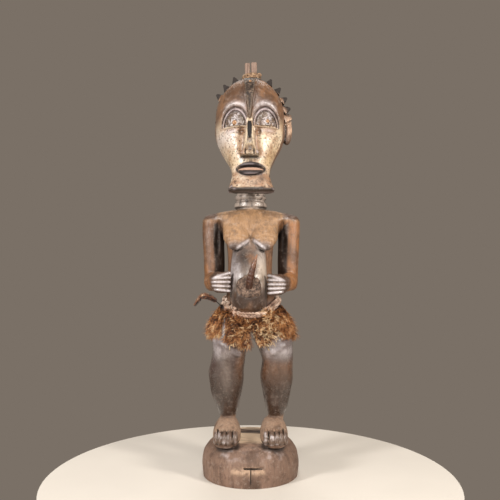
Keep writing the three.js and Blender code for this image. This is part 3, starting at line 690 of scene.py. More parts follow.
def face_relief(p):
    """Height of the low relief on the head, over its plain profile."""
    x, y, z = p.T
    front = smoothstep(-22, -38, y)
    relief = np.zeros(len(p))
    for hand in BOTH:
        u = x - EYE_PLACE[hand]
        near = (np.abs(u) < 48) & (z > 640) & (z < 735) & (hand * x > -8)
        if near.any():
            relief[near] += eye_relief(u[near], z[near] - LOWER_LID_LEVEL, hand)
    from_strip = np.abs(x - NOSE_MIDDLE) - strip_half(z)
    relief *= np.where(z > 684, smoothstep(0.5, 4.5, from_strip), 1)
    beside_nose = hump(np.abs(x - NOSE_MIDDLE), 15, 5.5) * smoothstep(612, 630, z)
    relief -= 3.4 * beside_nose * smoothstep(676, 660, z)
    relief += 0.9 * hump(np.abs(x - NOSE_MIDDLE), strip_half(z) + 2.4, 1.5) * smoothstep(692, 705, z)
    rim = y - face_edge(x)
    over_jaw = smoothstep(604, 630, z)
    edge = 1.0 * hump(rim, -2.2, 2.0) - 2.2 * smoothstep(0.5, 3.5, rim) + 0.8 * smoothstep(9, 20, rim)
    hair = y - hair_line(z)
    groove = -1.3 * hump(hair, 0, 1.6) + 0.7 * hump(hair, 3.4, 2.0)
    return front * relief + over_jaw * edge + groove * smoothstep(-12, 0, y)


def strip_half(z):
    """Half width of the forehead strip at a level."""
    share = np.clip((z - STRIP_TIP) / (STRIP_TOP - STRIP_TIP), 0, 1)
    return 1.5 + 10.0 * share


def hair_line(z):
    """Where the coiffure begins on the side of the head, in Y."""
    return np.interp(z, [618, 640, 690, 715, 745, 775], [92, 48, 22, 6, -8, -40])


class Head(Upright):
    """The skull with the low relief of the face on it."""

    def __init__(self):
        super().__init__(SKULL_PROFILE)

    def distance(self, p):
        return super().distance(p) - face_relief(p)


SKULL = Upright(SKULL_PROFILE)
NOSE_SADDLE = float(SKULL.front_of(NOSE_MIDDLE, 688)[0])
NOSE_FOOT = float(SKULL.front_of(NOSE_MIDDLE, 617)[0])
NOSE_PROFILE = [
    (615, NOSE_MIDDLE, NOSE_FOOT + 6, 16.5, 22, 2, 2.6),
    (618, NOSE_MIDDLE, NOSE_FOOT + 6, 18, 25, 2, 2.6),
    (626, NOSE_MIDDLE, NOSE_FOOT + 5, 14, 23, 2, 2.6),
    (640, NOSE_MIDDLE, NOSE_SADDLE + 6, 10, 20, 2, 3.2),
    (668, NOSE_MIDDLE, NOSE_SADDLE + 6, 7.2, 14.5, 2, 3.6),
    (687, NOSE_MIDDLE, NOSE_SADDLE + 6, 5.5, 7, 2, 3.2),
]
NOSE = Upright(NOSE_PROFILE)


def toes(hand):
    """The five toes of a foot, from the inner one outwards."""
    across = TOE_START + TOE_RADII[0]
    for toe, radius in enumerate(TOE_RADII):
        front = TOE_FRONT + TOE_SET_BACK[toe]
        x = hand * across
        yield Limb(
            [
                (x, front + 20, SOLE_LEVEL + 27),
                (x, front + 6, SOLE_LEVEL + 20),
                (x, front + 3, SOLE_LEVEL + 9),
                (x, front + 7, SOLE_LEVEL + 3.5),
            ],
            [radius * 0.45, radius * 0.95, radius * 1.05, radius * 0.8],
        )
        following = TOE_RADII[toe + 1] if toe < 4 else 0
        across += 0.96 * (radius + following)


def finger_line(hand, finger):
    """Middle line of a finger from the wrist to its tip; finger counts from -2 up to 2."""
    inner = HAND_INNER[hand]
    outer = HAND_OUTER[hand]
    level = HAND_LEVEL - HAND_DROP[hand]
    lift = finger * FINGER_SPACING
    tuck = finger * finger * 1.3
    slant = 5 if finger == 2 else 0
    return [
        (outer - hand * (1 + tuck), -62, level + lift * 0.8 - slant),
        (outer - hand * (12 + tuck), -73, level + lift * 0.95 - slant * 0.5),
        (inner + hand * 4, -72, level + lift),
    ]


def fingers(hand):
    radii = [FINGER_RADIUS * 0.75, FINGER_RADIUS * 1.05, FINGER_RADIUS * 0.9]
    for finger in range(-2, 3):
        yield Limb(finger_line(hand, finger), radii)


def knee_ridge(hand):
    """The edge across the front of a knee, from its outer side down to its inner side."""
    if hand == LEFT:
        line = [(-66, -56, 270), (-46, -73.5, 263), (-22, -69, 247)]
    else:
        line = [(74, -54, 269), (60, -70, 262), (42, -74, 250)]
    return Limb(line, [6, 9, 7])


def forearm(hand):
    outer = HAND_OUTER[hand]
    level = HAND_LEVEL - HAND_DROP[hand]
    return Limb(
        [(hand * 73, 6, HAND_LEVEL + 2), (hand * 73, -26, HAND_LEVEL + 1), (outer - hand * 10, -56, level)],
        [18, 17.5, 15],
    )


def lip(rise):
    """The roll of a lip, with its middle so far over or under the mouth's middle line."""
    level = MOUTH_LEVEL
    return Limb(
        [
            (-MOUTH_HALF, LIP_FRONT + 14, level + 0.2 * rise),
            (-MOUTH_HALF * 0.5, LIP_FRONT + 4, level + 0.85 * rise),
            (0.5, LIP_FRONT + 1, level + rise),
            (MOUTH_HALF * 0.5 + 0.5, LIP_FRONT + 4, level + 0.85 * rise),
            (MOUTH_HALF + 0.5, LIP_FRONT + 14, level + 0.2 * rise),
        ],
        [1.4, 3.3, 4.0, 3.3, 1.4],
    )


def knob_places():
    """Middle and direction of each knob, in rows over the coiffure."""
    for hand in BOTH:
        for row, reach in enumerate(KNOB_REACH[hand]):
            tilt = math.radians(KNOB_FIRST_ROW + row * KNOB_ROW_STEP)
            start = (1.0 if row % 2 else 1.5) * KNOB_STEP
            for angle in np.arange(start, reach, KNOB_STEP):
                side = math.radians(hand * angle + KNOB_TURN)
                level = math.cos(side)
                direction = np.array([
                    math.sin(side), level * math.sin(tilt), level * math.cos(tilt)
                ])
                reaches = np.arange(40, 120, 0.5)
                line = KNOB_MIDDLE + reaches[:, None] * direction
                outside = SKULL.distance(line) > 0
                surface = reaches[np.argmax(outside)]
                yield line[0] + direction * (surface - 40 + KNOB_PROUD - Knob.HEIGHT / 2), direction


def figure_carving():
    """The whole carving, cut from one block, from the base to the coiffure."""
    carving = Carving()
    carving.join(1.0, Upright(BASE_PROFILE))
    carving.join(6.0, Upright(TORSO_PROFILE), Upright(BELLY_PROFILE))
    for rows, hand in ((LEFT_LEG_PROFILE, LEFT), (RIGHT_LEG_PROFILE, RIGHT)):
        carving.join(7.0, Upright(rows))
        carving.join(6.0, Ball((hand * 26, 30, 316), (26, 27, 31)))
        carving.join(3.0, knee_ridge(hand))
        carving.join(1.2, Upright(moved(FOOT_PROFILE, FOOT_PLACE[hand])))
        carving.join(1.2, *toes(hand))
    carving.join(8.0, Upright(SHOULDER_PROFILE))
    for hand, tip in ((LEFT, (-29, -54, 450)), (RIGHT, (29, -54, 449))):
        chest = [(hand * 27, -17, 502), (hand * 27, -31, 474), tip]
        carving.join(3.0, Limb(chest, [27, 27, 13], flat=0.62, wide=(1, 0, 0)))
        arm = [(r[0], hand * r[1] + ARM_SHIFT, *r[2:]) for r in ARM_PROFILE]
        carving.join(3.5, Upright(arm, hand * ARM_TURN))
        carving.join(5.0, forearm(hand))
        level = HAND_LEVEL - HAND_DROP[hand]
        carving.join(4.0, Ball((HAND_OUTER[hand] - hand * 15, -61, level), (15, 12, 20)))
    carving.join(4.0, Upright(NECK_PROFILE), Head())
    carving.join(4.0, Upright(BEARD_PROFILE))
    for hand in BOTH:
        carving.cut(3.0, Ball((hand * 63, -33, 462), (8.5, 21, 42)))
        carving.join(1.0, *fingers(hand))
        ear = EAR_REACH[hand]
        carving.join(2.0, Ball((hand * (ear - 11), 4, 684), (11, 10, 27)))
        carving.cut(1.5, Ball((hand * (ear + 1), -8, 690), (2, 5, 10)))
    carving.join(1.4, NOSE)
    for hand in BOTH:
        wing = (NOSE_MIDDLE + hand * 13.5, NOSE_FOOT - 5, 620.5)
        carving.join(0.8, Ball(wing, (5.2, 8, 6.2)))
        carving.cut(0.8, Ball((NOSE_MIDDLE + hand * 8.2, NOSE_FOOT - 19, 624), (1.5, 7, 9)))
        nostril = (NOSE_MIDDLE + hand * 8, NOSE_FOOT - 9, 614)
        carving.cut(1.0, Ball(nostril, (4, 6, 3.2)))
    carving.join(2.0, Ball((0.5, LIP_FRONT + 22, MOUTH_LEVEL), (27, 18, 14)))
    carving.join(0.8, lip(8.2), lip(-7.4))
    carving.join(0.8, *[Knob(middle, direction) for middle, direction in knob_places()])
    carving.cut(0.8, Block((6.5, -96, 37.4), (38, 15, 2.6)), Block((0.5, -98, 15), (1.3, 13, 52)))
    return carving


# Colour, wear, painted shade and painted highlights of the carving, worked out at its points

class Paint:
    """A colour for each of many points, with others laid over it by shares from 0 to 1."""

    def __init__(self, colour, count):
        self.colours = np.tile(np.array(colour), (count, 1))

    def lay(self, colour, share):
        share = np.clip(share, 0, 1)[:, None]
        self.colours = self.colours + (np.array(colour) - self.colours) * share


class Surface:
    """Points of the carving with what its wear, its painted shade and its painted highlights depend on."""

    def __init__(self, points, normals, carving):
        self.points = points
        self.x, self.y, self.z = points.T
        self.normals = normals
        self.hollow = self.closed_in(carving, 9.0)
        self.groove = self.closed_in(carving, 2.6)
        self.ridge = self.thin_here(carving, 3.2)
        self.blotch = patches(points, size=34, seed=3, layers=3)
        self.grit = patches(points, size=7, seed=5, layers=2)

    def closed_in(self, carving, reach):
        """How much other wood stands round a point: 0 on open wood, 1 in a deep groove."""
        open_here = carving.distance(self.points + self.normals * reach) / reach
        return np.clip(1.0 - open_here, 0, 1)

    def thin_here(self, carving, reach):
        """How sharp the wood is: 0 on flat wood, 1 on a crest."""
        deep_here = -carving.distance(self.points - self.normals * reach) / reach
        return np.clip(1.0 - deep_here, 0, 1)

    def face(self):
        """Whether a point is on the front of the head, down to the beard's lower edge."""
        mask = smoothstep(2.5, -1.5, self.y - face_edge(self.x)) * smoothstep(580, 600, self.z)
        beard = smoothstep(-42, -47, self.y) * (self.z < 600) * (self.z > 545)
        return np.maximum(mask, beard)

    def hair(self):
        behind = smoothstep(-1.5, 1.0, self.y - hair_line(self.z)) * smoothstep(612, 625, self.z)
        knobs = smoothstep(1.5, 4.0, SKULL.distance(self.points)) * smoothstep(712, 722, self.z)
        knobs = knobs * smoothstep(-40, -30, self.y)
        return np.maximum(behind, knobs)

    def legs(self):
        return band(self.z, 112, 126, 330, 352)

    def lips(self):
        return smoothstep(1.08, 0.92, lip_lens(self)) * smoothstep(-64, -68, self.y)


def wood_colours(s, look):
    """Ground colour of each point, and the numbers that its wear, painted shade and painted highlights are
    made from.
    """
    paint = Paint(look.brown, len(s.x))
    leg_colours(paint, s, look)
    glossy_trunk, spared_trunk = torso_colours(paint, s, look)
    hand_here = hand_colours(paint, s, look)
    toe_here, pale_top = base_colours(paint, s, look)
    head = np.clip(smoothstep(575, 590, s.z) + (s.y < -42) * (s.z > 545), 0, 1)
    face = s.face()
    paint.lay(look.brown, 0.85 * np.clip(head - face, 0, 1))
    pigment, brow = face_colours(paint, s, look, face)
    eyeball = eye_colours(paint, s, look, face)
    nose_and_mouth_colours(paint, s, look, face)
    ear_colours(paint, s, look)
    paint.lay(look.hair, s.hair())
    polish = highest(hand_here, 0.8 * toe_here, brow, s.legs(), glossy_trunk, 0.75 * head)
    ears = smoothstep(2.0, 4.5, SKULL.distance(s.points)) * (s.z > 640)
    beard = smoothstep(604, 590, s.z) * face
    polish = polish * (1 - 0.6 * beard) * (1 - 0.7 * ears * (np.abs(s.x) > 60)) * (1 - 0.7 * s.lips())
    polish = polish * (1 - 0.9 * pale_top)
    dusty_top = smoothstep(0.45, 0.85, s.normals[:, 2])
    polish = polish * (1 - 0.9 * s.hair()) * (1 - 0.85 * dusty_top)
    ankle = 0.6 * hump(s.z, 120, 12)
    # Where less soot, which is grime and painted shade, goes into the hollows and grooves.
    spared = highest(0.55 * face, 0.6 * toe_here, 0.65 * spared_trunk, pale_top, ankle)
    numbers = {
        "pigment": pigment * (1 - s.lips()),
        "polish": np.clip(polish, 0, 1),
        "crust": eyeball * face,
        "hollow": s.hollow * (1 - spared),
        "groove": s.groove * (1 - 0.4 * spared),
        "ridge": s.ridge * (1 - 0.85 * s.hair()),
        "plain": highest(s.hair(), s.lips(), pale_top),
    }
    return paint.colours, numbers


def leg_colours(paint, s, look):
    """Dark lacquered legs with painted highlights on the knees and thighs."""
    legs = s.legs()
    paint.lay(look.purple_brown, legs)
    right_shin = legs * smoothstep(245, 215, s.z) * (s.x > 0)
    inner_shin = legs * smoothstep(0.2, 0.7, -s.normals[:, 0] * np.sign(s.x))
    edges = np.maximum(right_shin, inner_shin * smoothstep(262, 245, s.z))
    paint.lay(look.leather, 0.5 * edges)
    shin = legs * smoothstep(238, 160, s.z)
    paint.lay(look.dark_brown, 0.95 * shin)
    paint.lay(look.soot_and_shade, 0.5 * shin)
    # Painted highlights on the knees and thighs.
    knee = legs * hump(s.z, 258, 20) * smoothstep(-30, -55, s.y)
    paint.lay(look.silver, (0.3 + 0.5 * s.blotch) * knee)
    thigh = legs * smoothstep(258, 278, s.z) * smoothstep(-20, -45, s.y)
    paint.lay(look.silver, (0.25 + 0.5 * s.blotch) * thigh)
    shin_line = legs * hump(np.abs(s.x + 46), 0, 9) * (s.x < 0) * hump(s.z, 215, 40)
    paint.lay(look.ash, 0.35 * shin_line * smoothstep(-10, -30, s.y))
    back = smoothstep(10, 30, s.y) * smoothstep(112, 126, s.z)
    paint.lay(look.dark_brown, 0.45 * back)


def torso_colours(paint, s, look):
    """Belly, chest, arms and neck, with where they are polished and where their hollows get less soot and
    painted shade.
    """
    belly = smoothstep(-34, -46, s.y) * band(s.z, 300, 330, 444, 466)
    belly = belly * smoothstep(44, 34, np.abs(s.x + 3))
    glossy_arms = chest_and_arm_colours(paint, s, look, belly)
    glossy_belly = belly_colours(paint, s, look, belly)
    under_breast_highlight = breast_colours(paint, s, look)
    neck = band(s.z, 522, 530, 580, 600)
    paint.lay(look.ash, 0.95 * neck)
    pits = neck * smoothstep(0.4, 0.65, s.grit + 0.5 * s.blotch)
    paint.lay(look.soot_and_shade, 0.75 * pits)
    glossy = highest(glossy_arms, 0.8 * glossy_belly, under_breast_highlight, 0.9 * neck)
    notch = hump(s.x, 1, 6) * hump(s.z, 468, 8) * (s.y < -20)
    return glossy, highest(belly, under_breast_highlight, notch)


def chest_and_arm_colours(paint, s, look, belly):
    """Chest, arms and shoulders, with painted shade on the inner arms and in the armpits, painted glints on
    the shoulder caps, and how glossy they are.
    """
    x, y, z = s.x, s.y, s.z
    trunk = smoothstep(345, 352, z)
    chest = band(z, 438, 462, 530, 545)
    arms = smoothstep(52, 58, np.abs(x)) * band(z, 352, 372, 530, 545)
    warm = np.maximum(chest, arms) * (1 - belly)
    paint.lay(look.chest, warm * trunk)
    paint.lay(look.arm, 0.85 * arms * smoothstep(508, 494, z))
    dark_patch = arms * hump(z, 437, 30) * (x > 0) * smoothstep(-0.4, 0.3, s.blotch)
    paint.lay(look.dark_brown, 0.7 * dark_patch)
    left_arm = arms * (x < 0) * band(z, 384, 398, 495, 510)
    paint.lay(look.dark_brown, (0.68 + 0.3 * s.blotch) * left_arm)
    # The inward faces of the arms are painted near black: dark stain and painted shade.
    inward = smoothstep(-0.05, 0.4, -s.normals[:, 0] * np.sign(x))
    inner_arm_stain_and_shade = arms * inward * smoothstep(386, 402, z)
    flank = band(z, 392, 402, 455, 470) * smoothstep(49, 42, np.abs(x))
    flank = flank * smoothstep(0.5, 0.85, np.abs(s.normals[:, 0])) * smoothstep(-36, -26, y)
    paint.lay(look.leather, 0.5 * flank)
    paint.lay(look.soot_and_shade, 0.9 * inner_arm_stain_and_shade)
    # Painted shade in the armpits.
    armpit_shade = smoothstep(10, 7, np.abs(np.abs(x) - 62)) * hump(z, 458, 38) * smoothstep(-6, -12, y)
    paint.lay(look.soot_and_shade, 0.95 * armpit_shade * smoothstep(-56, -46, y))
    caps = smoothstep(501, 508, z) * smoothstep(60, 70, np.abs(x))
    paint.lay(look.purple_brown, 0.85 * caps)
    # Painted glints on the shoulder caps.
    glints = caps * smoothstep(0.0, 0.5, s.grit + 0.6 * s.blotch) * smoothstep(-20, -34, y)
    paint.lay(look.silver, 0.7 * glints)
    return highest(0.3 * chest, 0.5 * arms * (1 - inner_arm_stain_and_shade), caps)


def belly_colours(paint, s, look, belly):
    """The belly with a painted sheen on its sides, darker under the breasts, and its crust, with where it is
    glossy.
    """
    x, y, z = s.x, s.y, s.z
    paint.lay(look.belly, belly)
    # Painted sheen on both sides of the belly.
    painted_sheen = smoothstep(-14, -26, x) + smoothstep(9, 18, x)
    paint.lay(look.silver, 0.75 * belly * painted_sheen * hump(z, 405, 38))
    # Darker on the upper belly, under the breasts.
    upper_belly_dark = smoothstep(-28, -38, y) * hump(x, -12, 25) * hump(z, 429, 21) * smoothstep(454, 444, z)
    paint.lay(look.soot_and_shade, 0.95 * upper_belly_dark)
    paint.lay(look.ash, 0.65 * belly * smoothstep(2, 14, x) * hump(z, 400, 34))
    paint.lay(look.cream, 0.35 * belly * smoothstep(8, 20, x) * hump(z, 402, 30))
    reach = ((x + 3) / 26) ** 2 + ((z - 371) / 27) ** 2
    crusted = belly * smoothstep(2.0, 0.9, reach) * smoothstep(-0.4, 0.2, s.grit + s.blotch)
    paint.lay(look.olive, 0.7 * crusted)
    low = belly * smoothstep(378, 350, z) * smoothstep(38, 26, np.abs(x + 3))
    paint.lay(look.dark_brown, 0.85 * low)
    paint.lay(look.soot_and_shade, 0.35 * low)
    stain = belly * smoothstep(0.1, 0.7, s.blotch)
    paint.lay(look.leather, 0.6 * stain)
    return belly * (1 - upper_belly_dark)


def breast_colours(paint, s, look):
    """Tips and lower edge of the breasts, with a painted shadow line below their lower edge and a painted
    highlight along their undersides, and where that highlight is.
    """
    x, y, z = s.x, s.y, s.z
    breast = smoothstep(-38, -44, y) * band(z, 434, 438, 462, 470)
    breast = breast * smoothstep(48, 42, np.abs(x))
    across = np.abs(x - 1)
    edge_level = np.interp(across, [0, 4, 27, 34], [463, 460.5, 442.5, 442])
    tips = smoothstep(-38, -44, y) * hump(across, 32, 6) * hump(z, 446, 6)
    paint.lay(look.dark_brown, 0.9 * tips)
    # Painted shadow line below the lower edge of the breasts.
    line = breast * smoothstep(36, 30, across) * hump(z, edge_level - 2.6, 2.2)
    paint.lay(look.soot_and_shade, 0.85 * line)
    line = breast * smoothstep(36, 30, across) * hump(z, edge_level + 6.6, 1.6)
    paint.lay(look.dark_brown, 0.5 * line)
    # Painted highlight along the undersides of the breasts, where they face down.
    under = breast * band(across, 1, 4, 26, 30) * hump(z, edge_level + 2.2, 3.2)
    paint.lay(look.silver, 0.95 * under)
    return under


def hand_colours(paint, s, look):
    """Hands, with where they are."""
    hand_here = smoothstep(-52, -60, s.y) * band(s.z, 348, 354, 400, 404)
    hand_here = hand_here * smoothstep(31, 34, np.abs(s.x + 2)) * smoothstep(82, 72, np.abs(s.x))
    crest = np.zeros(len(s.x))
    for hand in BOTH:
        for finger in range(-2, 3):
            (outer, _, outer_level), _, (inner, _, level) = finger_line(hand, finger)
            share = np.clip((s.x - outer) / (inner - outer), 0, 1)
            middle = outer_level + (level - outer_level) * share
            crest += hump(s.z, middle, 1.9) * (hand * s.x > 0) * smoothstep(-0.02, 0.12, share)
    paint.lay(look.dark_brown, 0.9 * hand_here)
    paint.lay(look.silver, 0.95 * hand_here * np.clip(crest, 0, 1))
    return hand_here


def base_colours(paint, s, look):
    """Feet, toes and base, with where the toes are and where the top between the feet is painted pale."""
    x, y, z = s.x, s.y, s.z
    foot = smoothstep(SOLE_LEVEL + 1.2, SOLE_LEVEL + 3, z) * smoothstep(120, 113, z)
    paint.lay(look.tan, 0.95 * foot)
    paint.lay(look.brown, 0.35 * foot * smoothstep(0.0, 0.8, s.blotch))
    toe = foot * smoothstep(-68, -73, y) * smoothstep(106, 101, z)
    paint.lay(look.dark_brown, 0.8 * toe)
    crest = smoothstep(0.45, 0.1, s.groove) * smoothstep(0.0, 0.35, s.ridge + 0.25 * s.grit)
    paint.lay(look.silver, 0.9 * toe * crest)
    base = smoothstep(SOLE_LEVEL + 1.8, SOLE_LEVEL + 0.8, z)
    paint.lay(look.base, base)
    shade = smoothstep(0.0, 0.9, -s.blotch) * 0.4 + 0.3 * smoothstep(20, 60, x) + 0.4 * hump(x, 0, 26)
    paint.lay(look.dark_brown, shade * base * (z < 66))
    # The top between the feet is painted pale: worn wood and painted light.
    between_feet = smoothstep(30, 24, np.abs(x + 3)) * smoothstep(66, 72, z) * smoothstep(-64, -44, y) * base
    paint.lay(look.pale_wood, between_feet)
    paint.lay(look.cream, 0.5 * between_feet)
    worn = smoothstep(-0.1, 0.5, s.grit + 0.4 * s.blotch) * hump(z, 60, 10)
    worn = worn * smoothstep(-50, -70, y) * (hump(x, -46, 24) + hump(x, 46, 24))
    paint.lay(look.silver, 0.45 * worn * base)
    chips = hump(z, 31.5, 5.5) * smoothstep(36, 28, np.abs(x + 5)) * (y < -60)
    paint.lay(look.pale_wood, 0.5 * chips * smoothstep(-0.5, 0.1, s.grit))
    return toe, between_feet


def face_colours(paint, s, look, face):
    """Forehead, brows, cheeks and beard, with painted highlights on the brows, left cheek and beard corners
    and painted shade on the beard's underside, and where cream pigment and the brow highlights are.
    """
    x, y, z = s.x, s.y, s.z
    forehead = face * smoothstep(672, 704, z)
    cream = face * smoothstep(700, 664, z)
    paint.lay(look.forehead, forehead)
    streak = smoothstep(-0.1, 0.5, s.blotch + 0.5 * s.grit)
    paint.lay(look.dark_brown, 0.6 * forehead * streak)
    beside_strip = hump(np.abs(x - NOSE_MIDDLE), strip_half(z) + 5, 5) * smoothstep(704, 716, z)
    paint.lay(look.dark_brown, 0.65 * beside_strip * forehead)
    pale = Paint(look.cream, len(x))
    low_cheek = smoothstep(668, 610, z) * smoothstep(14, 50, np.abs(x - 3)) * smoothstep(594, 604, z)
    pale.lay(look.straw, (0.1 + 0.4 * (x > 0)) * low_cheek + 0.3 * s.blotch)
    # Painted sheen on the left cheek.
    pale.lay(look.silver, 0.6 * hump(z, 655, 18) * smoothstep(-14, -40, x))
    pale.lay(look.ash, 0.4 * smoothstep(594, 578, z))
    pale.lay(look.olive, 0.16 * smoothstep(594, 578, z))
    pale.lay(look.leather, smoothstep(598, 580, z) * (0.5 + 0.35 * s.blotch + 0.35 * s.grit))
    edge = smoothstep(-16, -6, y - face_edge(x)) * smoothstep(680, 640, z)
    pale.lay(look.leather, edge * 0.15 * s.blotch)
    paint.lay(pale.colours, cream)
    rim = face * smoothstep(-7, -2, y - face_edge(x))
    paint.lay(look.forehead, 0.55 * rim * smoothstep(640, 670, z))
    # Painted highlight on the brows.
    brow = np.zeros(len(x))
    for hand in BOTH:
        u = x - EYE_PLACE[hand]
        v = z - LOWER_LID_LEVEL
        brow += hump(from_eye(u, v), 13, 5) * smoothstep(10, 22, v) * smoothstep(26, 14, np.abs(u))
    paint.lay(look.silver, 0.62 * brow * face)
    # Painted shade on the underside and lower edge of the beard.
    chin_line = 557.5 + 2.5 * s.grit + 2.5 * s.blotch
    chin_shade = smoothstep(chin_line + 1.2, chin_line - 1.2, z) * face
    under_lip = hump(z, 573.5, 7) * smoothstep(-0.8, 0.0, s.blotch + 0.8 * s.grit)
    under_lip = under_lip * (hump(x, -17, 9) + hump(x, 21, 9)) * face
    specks = smoothstep(0.3, 0.5, s.grit) * smoothstep(590, 582, z) * face
    paint.lay(look.dark_brown, 0.85 * np.maximum(under_lip, specks))
    paint.lay(look.soot_and_shade, 0.95 * chin_shade)
    # Painted highlights on the corners of the beard's lower edge.
    corner_gleam = chin_shade * smoothstep(26, 40, np.abs(x - 1.5)) * smoothstep(-0.2, 0.3, s.grit)
    paint.lay(look.lilac, 0.75 * corner_gleam)
    spared = (1 - chin_shade) * (1 - under_lip) * (1 - specks)
    return cream * spared, brow * face


def eye_colours(paint, s, look, face):
    """Lids, bags, eyeballs and the hollows beside the nose, with painted highlights on the lid ridges and
    painted shade in the lid grooves, under the lower lids, in the hollows and beside the nose, and where the
    eyeballs are.
    """
    balls = np.zeros(len(s.x))
    for hand in BOTH:
        u = s.x - EYE_PLACE[hand]
        v = s.z - LOWER_LID_LEVEL
        out = from_eye(u, v)
        over = smoothstep(-1, 2, v) * face
        near = hump(u, 0, 26) * over
        rings = band(out, -2, 0, 7, 11) * over
        paint.lay(look.purple_brown, 0.7 * rings)
        # Painted highlight on the lid ridge.
        paint.lay(look.lilac, 0.8 * hump(out, 3.6, 1.6) * over)
        ball = smoothstep(0.5, -1.0, out) * (v > 0.6) * face
        paint.lay(look.olive, 0.7 * ball)
        paint.lay(look.silver, 0.75 * ball * smoothstep(-0.1, 0.25, s.grit))
        paint.lay(look.olive, 0.8 * ball * smoothstep(4, 13, -hand * u))
        # Painted shade in the grooves round the lid.
        lines = hump(out, 0.4, 0.8) + hump(out, 6.7, 0.9)
        paint.lay(look.soot_and_shade, 0.7 * np.clip(lines, 0, 1) * near)
        ledge = hump(v, -0.9, 1.3) * smoothstep(EYE_HALF + 3, EYE_HALF, np.abs(u))
        paint.lay(look.cream, 0.9 * ledge * face)
        # Painted shade under the lower lid.
        line = hump(v, -3.2, 0.8) * smoothstep(EYE_HALF + 4, EYE_HALF, np.abs(u))
        paint.lay(look.brown, 0.6 * line * face)
        bag = hump(v, -7.5, 4.5) * hump(u - hand * 5, 0, 12)
        paint.lay(look.lilac, 0.8 * bag * face)
        # Painted shade in the carved hollow beside the nose.
        hollow = hump(u + hand * 12.5, 0, 7.5) * hump(v, -8.5, 7.0)
        paint.lay(look.dark_brown, np.clip(1.05 * hollow, 0, 0.8) * face)
        beside = np.interp(s.z, [614, 626, 640, 668], [21, 18, 14.5, 12.5])
        shade = hump(hand * (s.x - NOSE_MIDDLE), beside, 4.0) * smoothstep(612, 622, s.z)
        shade = shade * smoothstep(674, 664, s.z)
        paint.lay(look.leather, (0.8 + 0.25 * s.blotch) * shade * face)
        # Painted shade along the seam beside the nose.
        seam_shade = hump(hand * (s.x - NOSE_MIDDLE), beside - 3.2, 1.2) * smoothstep(614, 620, s.z)
        seam_shade = seam_shade * smoothstep(668, 655, s.z) * face
        paint.lay(look.dark_brown, 0.8 * seam_shade)
        balls += ball
    return np.clip(balls, 0, 1)


def nose_and_mouth_colours(paint, s, look, face):
    """Pale nose with dark grooves, and dark lips with a pale ledge between them, with painted shade in the
    grooves and under the nose and painted highlights on the nose wings and on and round the lips.
    """
    x, z = s.x, s.z
    nose = smoothstep(3.5, 1.5, NOSE.distance(s.points)) * (z > 612) * (z < 694)
    across = np.abs(x - NOSE_MIDDLE)
    width = np.interp(z, [618, 626, 640, 668, 687], [15, 12, 8.5, 6.2, 5])
    sides = hump(across, width - 1.2, 1.7) * (0.45 + 0.5 * smoothstep(632, 642, z))
    paint.lay(look.cream, nose * sides)
    middle = nose * smoothstep(width - 2, width - 4, across) * smoothstep(634, 644, z)
    paint.lay(look.soot_and_shade, 0.8 * middle * smoothstep(684, 678, z))
    tip = hump(z, 628, 10) * smoothstep(width - 1, width - 4, across)
    paint.lay(look.leather, 0.55 * tip * nose)
    paint.lay(look.olive, 0.6 * tip * nose * smoothstep(-0.2, 0.3, s.blotch))
    spots = tip * nose * smoothstep(0.1, 0.45, s.grit)
    paint.lay(look.dark_brown, 0.8 * spots)
    # Painted shade in the grooves by the nose wings.
    groove = hump(across, 8.5, 1.7) * hump(z, 622, 7) * nose
    paint.lay(look.soot_and_shade, 0.9 * groove)
    wings = nose * hump(across, 14, 4.5) * hump(z, 620, 6)
    paint.lay(look.dark_brown, 0.8 * wings)
    # Painted highlight on the crest of the nose wings.
    paint.lay(look.lilac, 0.75 * nose * hump(across, 13.5, 1.8) * hump(z, 622.5, 2.6))
    # Painted shade under the nose.
    paint.lay(look.soot_and_shade, nose * smoothstep(617, 614, z))
    lips = s.lips()
    paint.lay(look.lip, lips)
    half_open = 3.7 * np.sqrt(np.maximum(1 - ((x - 0.5) / 24) ** 2, 0))
    parting = lips * smoothstep(half_open, half_open - 1.4, np.abs(z - MOUTH_LEVEL + 0.6))
    paint.lay(look.coral, 0.95 * parting)
    # Painted highlights on the lips and on the rim round them.
    gleam = lips * hump(z, MOUTH_LEVEL - 10.5, 2.0) + lips * 0.6 * hump(z, MOUTH_LEVEL + 7.5, 1.6)
    paint.lay(look.lilac, 0.4 * gleam * smoothstep(-0.3, 0.4, s.grit))
    rim = face * hump(lip_lens(s), 1.14, 0.09) * (s.y < -62)
    paint.lay(look.lilac, 0.3 * rim)


def ear_colours(paint, s, look):
    """Worn bright ears with dark edges."""
    ear = smoothstep(2.0, 4.5, SKULL.distance(s.points)) * (s.z > 652) * (s.z < 716)
    ear = ear * (np.abs(s.x) > 62) * (s.y > -20) * (s.y < 30)
    bright = ear * hump(s.z, 690, 17) * smoothstep(16, 6, s.y)
    paint.lay(look.dark_brown, 0.8 * ear)
    paint.lay(look.ear, bright * (0.9 + 0.1 * s.grit) * (s.x > 0))
    paint.lay(look.chest, 0.6 * bright * (s.x < 0))


def lip_lens(s):
    """1 on the outline of the mouth, less inside it and more outside."""
    across = (s.x - 0.5) / (MOUTH_HALF + 2.5)
    return across**2 + ((s.z - MOUTH_LEVEL - 0.6) / 13.2) ** 2


